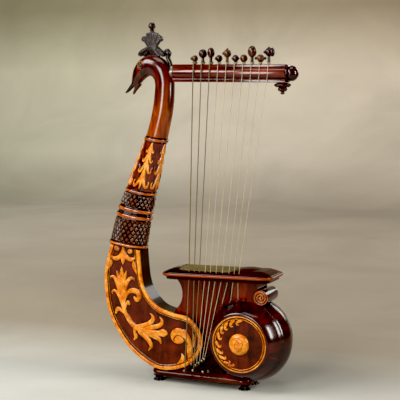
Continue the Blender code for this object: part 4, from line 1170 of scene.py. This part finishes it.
def bed_gap(x, y):
    """Signed distance inside (negative) or outside the woven panel's bed."""
    left, right, half, corner = BED
    dx = abs(x - (left + right) / 2) - (right - left) / 2 + corner
    dy = abs(y) - half + corner
    return math.hypot(max(dx, 0), max(dy, 0)) + min(max(dx, dy), 0) - corner


def build_top_plate():
    rings, gold, soot = [], [], []

    def keep(ring, painted_highlight, dark):
        rings.append(seated(ring))
        gold.extend([painted_highlight] * len(ring))
        soot.extend([dark] * len(ring))
    # Underside of the front edge, with a little painted shade.
    for inset, z in spline(((8.2, 209.0), (7.6, 209.3), (7.0, 212.3), (5.6, 213.9), (4.0, 215.0)), 4):
        keep(rounded_ring(*PLATE, inset, z, 14, 90), 0.0, 0.25)
    # Rounded front edge: its gold value is a painted copper highlight along the upper front of the bead.
    for degrees in np.linspace(-80, 82, 15):
        a = math.radians(degrees)
        keep(rounded_ring(*PLATE, 3.5 - 3.4 * math.cos(a), 218.4 + 3.4 * math.sin(a), 14, 90),
             0.42 * math.exp(-((degrees - 12) / 42) ** 2), 0.0)
    # Groove above the bead, filled with painted shade.
    for inset, z, dark in ((3.3, 221.2, 0.7), (3.6, 220.6, 1.0), (4.0, 220.7, 1.0), (4.3, 221.9, 0.5)):
        keep(rounded_ring(*PLATE, inset, z, 14, 90), 0.0, dark)
    for inset in np.concatenate([np.arange(4.9, 24, 0.8), np.arange(24, 46, 1.1)]):
        ring = rounded_ring(*PLATE, inset, 0, 14, 90)
        for point in ring:
            x, y = point[0], point[1]
            level = dome(inset)
            swell = 1 - ((x - 104) / 30) ** 2 - (y / 27) ** 2
            if swell > 0:
                level = max(level, 226 + 8 * swell ** 0.5)
            sink = float(1 - smooth_step(np.array(bed_gap(x, y)), -0.4, 0.5))
            point[2] = level * (1 - sink) + 222.2 * sink
        keep(ring, 0.0, 0.0)
        # Painted shade standing in for the string holes, which are not cut.
        near = [min(math.hypot(p[0] - hole, p[1] + PLATE_Y + 46.5) for hole in STRING_HOLES) for p in ring]
        soot[-len(ring):] = [1.0 if gap < 1.9 else 0.0 for gap in near]
    points, faces = skin(rings)
    outward(solid("look_top_plate", points, faces, "plate", {"gold": gold, "soot": soot}, sharp=50,
                  slot="ebonised_wood", stands_for=("top_plate",)))
    build_weave()


def build_weave():
    """Woven panel: two sets of threads that pass over and under each other."""
    left, right, half, _ = BED
    pitch, step = 3.9, 0.62
    xs = np.arange(left + 0.6, right - 0.5, step)
    ys = np.arange(-half + 0.6, half - 0.5, step)
    points, soot = [], []
    for y in ys:
        for x in xs:
            one, two = (x + y) / pitch, (x - y) / pitch
            ridge_one, ridge_two = abs(math.sin(math.pi * one)), abs(math.sin(math.pi * two))
            over = math.cos(math.pi * math.floor(one)) * math.cos(math.pi * math.floor(two))
            lift = max(ridge_one * (0.62 + 0.38 * over), ridge_two * (0.62 - 0.38 * over))
            fade = float(smooth_step(np.array(-bed_gap(x, y)), 0.3, 4.0))
            points.append((x, y,
                           dome(PLATE[2] - abs(y)) - 2.2 + 0.6 * fade + 1.15 * lift * (0.3 + 0.7 * fade)))
            # Painted shade where the threads dip under each other.
            soot.append(max(0.0, 1.0 - lift * 1.25))
    columns = len(xs)
    faces = []
    for row in range(len(ys) - 1):
        for k in range(columns - 1):
            a = row * columns + k
            centre = ((xs[k] + xs[k + 1]) / 2, (ys[row] + ys[row + 1]) / 2)
            if bed_gap(*centre) < -0.35:
                faces.append((a, a + 1, a + columns + 1, a + columns))
    solid("look_woven_panel", seated(points), faces, "mesh", {"soot": soot, "gold": soot}, sharp=80,
          slot="woven_mesh",
          stands_for=("woven_panel",))


# ---------------------------------------------------------------- soundbox, drum and base
def build_soundbox():
    for node in ("front_panel", "back_panel", "left_rib", "shoulder_block", "treble_hitch_rail"):
        NODES[node].data.materials.clear()
        NODES[node].data.materials.append(MATERIALS["panel"])
    NODES["heel_block"].data.materials.clear()
    NODES["heel_block"].data.materials.append(MATERIALS["ebony"])
    build_plinth()
    build_volute()


def build_plinth():
    levels = spline(((12.0, -90, 38), (13.2, -93, 40.4), (16, -95.6, 41.7), (18.5, -96.6, 42.0), (21, -96.6,
                                                                                                  41.0),
                     (23.2, -96, 38.6), (25.4, -94.6, 35.0), (28.7, -92, 32.0)), 4)
    rings = [rounded_ring(left, 112, half, 18, 0, z, 10, 20) for z, left, half in levels]
    points, faces = skin(rings)
    piece = outward(solid("look_base_plinth", points, faces, "plinth", slot="mahogany",
                          stands_for=("base_plinth",)))
    return piece


def polar_cap(name, centre, outer, direction, relief, material, rows=60, around=240, seat=0.0, **where):
    """Round face seen along Y: relief(r, angle arrays) gives outward height, gold and painted shade."""
    radii = np.linspace(0.4, outer, rows)
    angles = np.linspace(0, 2 * math.pi, around, endpoint=False)
    rings, golds, painted_shades = [], [], []
    for radius in radii:
        x, z = radius * np.cos(angles), radius * np.sin(angles)
        height, gold, soot = relief(np.full(around, radius), angles, x, z)
        rings.append([(centre[0] + a, centre[1] + direction * h, centre[2] + b) for a, b, h in zip(x, z,
                                                                                                   height)])
        golds.extend(gold)
        painted_shades.extend(soot)
    rings.append([(centre[0] + a, centre[1] - direction * seat, centre[2] + b) for a, b in
                  zip(outer * np.cos(angles), outer * np.sin(angles))])
    golds.extend(gold)
    painted_shades.extend(soot)
    points, faces = skin(rings)
    return outward(solid(name, points, faces, material, {"gold": golds, "soot": painted_shades}, **where))


def build_volute():
    low, high = span("volute_roll")
    x, z = low[0] + 14.4, 182.3
    radius, front = 14.4, low[1]

    def relief(r, angle, dx, dz):
        turns = (r / radius * 3.0 - angle / (2 * math.pi)) % 1.0
        groove = np.exp(-((turns - 0.5) / 0.17) ** 2) * (r > 1.6) * (r < radius - 1.6)
        eye = np.exp(-(r / 1.8) ** 2)
        # Painted shade in the spiral groove, copper on the rest of the face.
        copper = smooth_step(1 - groove, 0.35, 0.75)
        return -1.3 * groove + 0.5 * eye - 0.9 * smooth_step(r, radius - 1.9,
                                                             radius - 0.9), copper, groove * 0.95

    lathe("look_volute_roll", ((0.3, high[1] - 3.4), (13.4, high[1] - 3.4), (14.2, high[1] - 2.6),
                               (14.4, high[1] - 4.5), (14.4, 0), (14.4, low[1] + 4.5), (14.2, low[1] + 2.6),
                               (13.4, low[1] + 3.4), (0.3, low[1] + 3.4)), (x, 0, z), "Y", "drum", 64,
          slot="ebonised_wood", stands_for=("volute_roll",))
    for direction, y in ((-1, front), (1, high[1])):
        polar_cap("volute_face_%s" % ("front" if direction < 0 else "back"), (x, y, z), 14.1, direction,
                  relief,
                  "copper", 44, 120, seat=4.0, slot="ebonised_wood")


def drum_profile():
    half = ((56.6, 60.2), (58.6, 59.9), (61.5, 57.4), (66.5, 49.0), (72.0, 38.0), (74.6, 31.6), (75.6, 30.6),
            (76.3, 29.4), (76.2, 28.2), (75.2, 27.4), (76.4, 26.4), (78.4, 21.5), (81.0, 15.0), (83.2, 7.5))
    return list(half) + [(DRUM_RADIUS, 0.0)] + [(r, -h) for r, h in reversed(half)]


def ring_relief(r, angle, x, z):
    """Front of the drum: double gold ring, a comb of wave leaves on one side, a sunk red field."""
    height = -2.6 * np.ones(len(r))
    ridge_one = np.exp(-((r - 53.2) / 1.9) ** 2)
    ridge_two = np.exp(-((r - 48.9) / 1.2) ** 2)
    height = height + 3.1 * ridge_one + 2.6 * ridge_two
    height = height - 1.4 * smooth_step(r, 55.0, 56.4)
    gold = smooth_step(ridge_one, 0.25, 0.6) + smooth_step(ridge_two, 0.35, 0.7)
    # Painted shade in the grooves beside the rings.
    groove = np.exp(-((r - 51.1) / 0.6) ** 2) + np.exp(-((r - 46.6) / 0.7) ** 2)
    leaf, nearness = stroke_field(x, z, WAVE_LEAVES)
    on = nearness < 0
    height = np.where(on, np.maximum(height, -2.4 + 2.0 * leaf), height)
    gold = np.maximum(gold, smooth_step(-nearness, -0.3, 0.3))
    # Painted shadow round the wave leaves.
    painted_shadow_halo = np.exp(-(np.clip(nearness, 0, 40) / 1.4) ** 2) * (nearness > 0.2)
    return height, np.clip(gold, 0, 1), np.clip(np.maximum(groove, painted_shadow_halo), 0, 1) * (1 - on * 1.0)


def wave_leaves():
    """Comma-shaped leaves that curl off the inner ring, from the top round the left to the bottom."""
    strokes = []
    for start, size in ((93, 0.74), (112, 0.86), (131, 0.84), (147, 0.74), (165, 0.78), (187, 0.76), (205,
                                                                                                      0.72),
                        (222, 0.68), (239, 0.6), (251, 0.5)):
        knots = []
        for turn, drop, width in ((-8.5, 0.0, 3.0), (-3.5, 2.2, 4.0), (2.0, 5.4, 3.7), (5.0, 9.0, 2.8),
                                  (2.8, 12.0, 1.8), (-1.6, 12.6, 0.7)):
            angle, radius = math.radians(start + turn), 46.8 - drop * size
            knots.append((radius * math.cos(angle), radius * math.sin(angle), width * size))
        strokes.append(tuple(knots))
    return strokes


WAVE_LEAVES = wave_leaves()


def boss_relief(r, angle, x, z):
    """Domed boss with a worn spiral cut."""
    dome = 10.0 * np.sqrt(np.clip(1 - (r / 20.6) ** 2, 0, 1)) ** 0.9
    spiral = np.abs(((r - 3.0) / 7.0 - angle / (2 * math.pi)) % 1.0 - 0.5)
    cut = np.exp(-((0.5 - spiral) / 0.07) ** 2) * (r < 11) * (r > 3.5)
    step = np.exp(-((r - 12.5) / 0.7) ** 2) * 0.4
    # Painted shade in the spiral cut and at the step.
    return dome - 0.7 * cut - step, np.ones(len(r)), np.clip(cut * 0.6 + step * 0.5, 0, 1)


def build_drum():
    lathe("look_drum_shell", [(50.4, 59.6)] + drum_profile() + [(50.4, -59.6), (50.4, -52), (62, -40), (74,
                                                                                                        0),
                                                              (62, 40), (50.4, 52)],
          (DRUM_X, 0, DRUM_Z), "Y", "drum", 144, 1, sharp=50, slot="mahogany", stands_for=("drum_shell",))
    for direction, label in ((-1, "front"), (1, "back")):
        polar_cap("look_drum_cap_" + label, (DRUM_X, direction * 60.6, DRUM_Z), 56.4, direction, ring_relief,
                  "carved", 100, 400, seat=2.0, slot="gilded_wood", stands_for=("drum_cap_" + label,))
        polar_cap("look_drum_boss_" + label, (DRUM_X, direction * 57.6, DRUM_Z), 20.4, direction, boss_relief,
                  "boss", 50, 160, seat=1.0, slot="gilded_wood", stands_for=("drum_boss_" + label,))


def build_feet():
    for number in range(1, 5):
        node = "foot_%d" % number
        x, y, _ = middle(node)
        top = span(node)[1][2]
        lathe("look_" + node, ((0.3, top), (10.0, top), (11.0, top - 0.8), (10.6, top - 1.8), (8.2,
                                                                                               top - 3.2),
                               (7.2, top - 5.2), (8.0, top - 7.4), (10.4, 2.6), (11.0, 1.3), (10.4, 0.2),
                               (0.3, 0.2)),
              (x, y, 0), "Z", "ebony", 72, 3, flutes=(9, 0.16), slot="ebonised_wood", stands_for=(node,))


def build_hitch_block():
    NODES["hitch_block"].data.materials.clear()
    NODES["hitch_block"].data.materials.append(MATERIALS["ebony"])
    build_pins()


# ---------------------------------------------------------------- stage, lights and camera
def stage_material(name):
    """Painted cloth: pale floor, a soft change of tone behind the piece with painted light and shade, and faint warm
    and cool clouds.
    """
    shade = Shading(name, roughness=0.9, specular=0.05)
    place = shade.add("SeparateXYZ", Vector=shade.place).outputs
    share = shade.add("MapRange", Value=place[1], in1=-0.1, in2=0.34, in3=0.0, in4=1.0).outputs[0]
    height = shade.add("MapRange", Value=place[2], in1=0.0, in2=1.2, in3=0.0, in4=1.0).outputs[0]
    # Painted light falloff: darker on the far floor and towards the top of the backdrop, brightest at middle height.
    wall = shade.ramp(height, [(0.0, srgb(158, 154, 142)), (0.15, srgb(194, 190, 178)), (0.5, srgb(200, 194,
                                                                                                   180)),
                               (0.78, srgb(152, 144, 124))])
    across = shade.add("MapRange", Value=place[0], in1=-2.7, in2=-0.4, in3=0.0, in4=1.0).outputs[0]
    tint = shade.ramp(across, [(0.1, srgb(250, 252, 238)), (0.5, srgb(255, 250, 244)), (0.9, srgb(238, 230,
                                                                                                  222))])
    tone = shade.mix(share, srgb(180, 181, 175), shade.mix(1.0, wall, tint, "MULTIPLY"))
    clouds = shade.scalar_ramp(shade.noise(shade.place, 1.7, 5.0, 0.6, 0.5), [(0.34, 0.86), (0.66, 1.05)])
    return shade.colour(shade.mix(1.0, tone, clouds, "MULTIPLY"))


def build_stage():
    """Seamless sweep: a pale floor that curves up into a grey-olive backdrop."""
    builder = bmesh.new()
    line = [(-4.0, 0.0)] + [(2.6, 0.0)]
    for k in range(1, 13):
        a = math.radians(90 * k / 12)
        line.append((2.6 + 1.2 * math.sin(a), 1.2 - 1.2 * math.cos(a)))
    line.append((3.8, 6.0))
    rows = []
    for y, z in line:
        rows.append([builder.verts.new((x, y, z)) for x in (-8.0, 8.0)])
    for first, second in zip(rows, rows[1:]):
        builder.faces.new((first[0], first[1], second[1], second[0]))
    mesh = bpy.data.meshes.new("backdrop")
    builder.to_mesh(mesh)
    builder.free()
    mesh.shade_smooth()
    mesh.materials.append(stage_material("pale_sweep"))
    sweep_piece = bpy.data.objects.new("backdrop", mesh)
    bpy.context.scene.collection.objects.link(sweep_piece)


def area_light(name, place, target, size, power, colour=(1, 1, 1)):
    data = bpy.data.lights.new(name, "AREA")
    data.shape = "RECTANGLE"
    data.size, data.size_y = size
    data.energy = power
    data.color = colour
    light = bpy.data.objects.new(name, data)
    light.location = place
    light.visible_camera = False
    light.rotation_euler = (Vector(target) - Vector(place)).to_track_quat("-Z", "Y").to_euler()
    bpy.context.scene.collection.objects.link(light)


def build_lights():
    aim = (0.0, 0.0, 0.34)
    area_light("front_softbox", (-0.15, -2.2, 0.95), aim, (0.75, 1.4), 42, (1.0, 0.97, 0.93))
    area_light("left_key", (-1.3, -1.35, 1.8), aim, (1.5, 1.1), 64, (1.0, 0.97, 0.92))
    area_light("right_softbox", (2.05, 0.05, 0.9), aim, (0.45, 1.1), 34, (1.0, 0.98, 0.95))
    area_light("top_softbox", (0.2, -0.2, 2.5), aim, (1.4, 1.0), 16)
    area_light("backdrop_wash", (-1.2, 1.4, 2.2), (-1.7, 3.8, 0.45), (2.6, 0.8), 62)
    area_light("rear_softbox", (0.9, 2.2, 1.3), aim, (0.8, 1.2), 14, (1.0, 0.98, 0.95))
    world = bpy.data.worlds.new("studio")
    world.use_nodes = True
    background = world.node_tree.nodes["Background"]
    background.inputs[0].default_value = (0.62, 0.60, 0.55, 1)
    background.inputs[1].default_value = 0.12
    bpy.context.scene.world = world


VIEW_AZIMUTH, VIEW_DROP = 24.0, 6.453     # degrees round from the front, and down
VIEW_AIM = (-0.0075, 0.0, 0.3599)         # metres
VIEW_DISTANCE = 2.27
LENS, SENSOR = 105.0, 36.0


def build_camera():
    data = bpy.data.cameras.new("camera")
    data.lens, data.sensor_width = LENS, SENSOR
    data.clip_end = 50
    camera = bpy.data.objects.new("camera", data)
    turn, drop = math.radians(VIEW_AZIMUTH), math.radians(VIEW_DROP)
    back = Vector((math.sin(turn) * math.cos(drop), -math.cos(turn) * math.cos(drop), math.sin(drop)))
    camera.location = Vector(VIEW_AIM) + back * VIEW_DISTANCE
    camera.rotation_euler = (math.radians(90) - drop, 0, turn)
    bpy.context.scene.collection.objects.link(camera)
    bpy.context.scene.camera = camera
    view = bpy.context.scene.view_settings
    view.view_transform = "Standard"
    view.use_curve_mapping = True
    view.curve_mapping.black_level = (0.016, 0.018, 0.018)
    view.curve_mapping.update()


build_camera()
build_stage()
build_lights()
build_arm()
build_neck()
build_head()
build_crest()
build_crossbar()
for peg_number in range(1, STRING_COUNT + 1):
    build_peg(peg_number)
build_strings()
build_top_plate()
build_soundbox()
build_drum()
build_feet()
build_hitch_block()
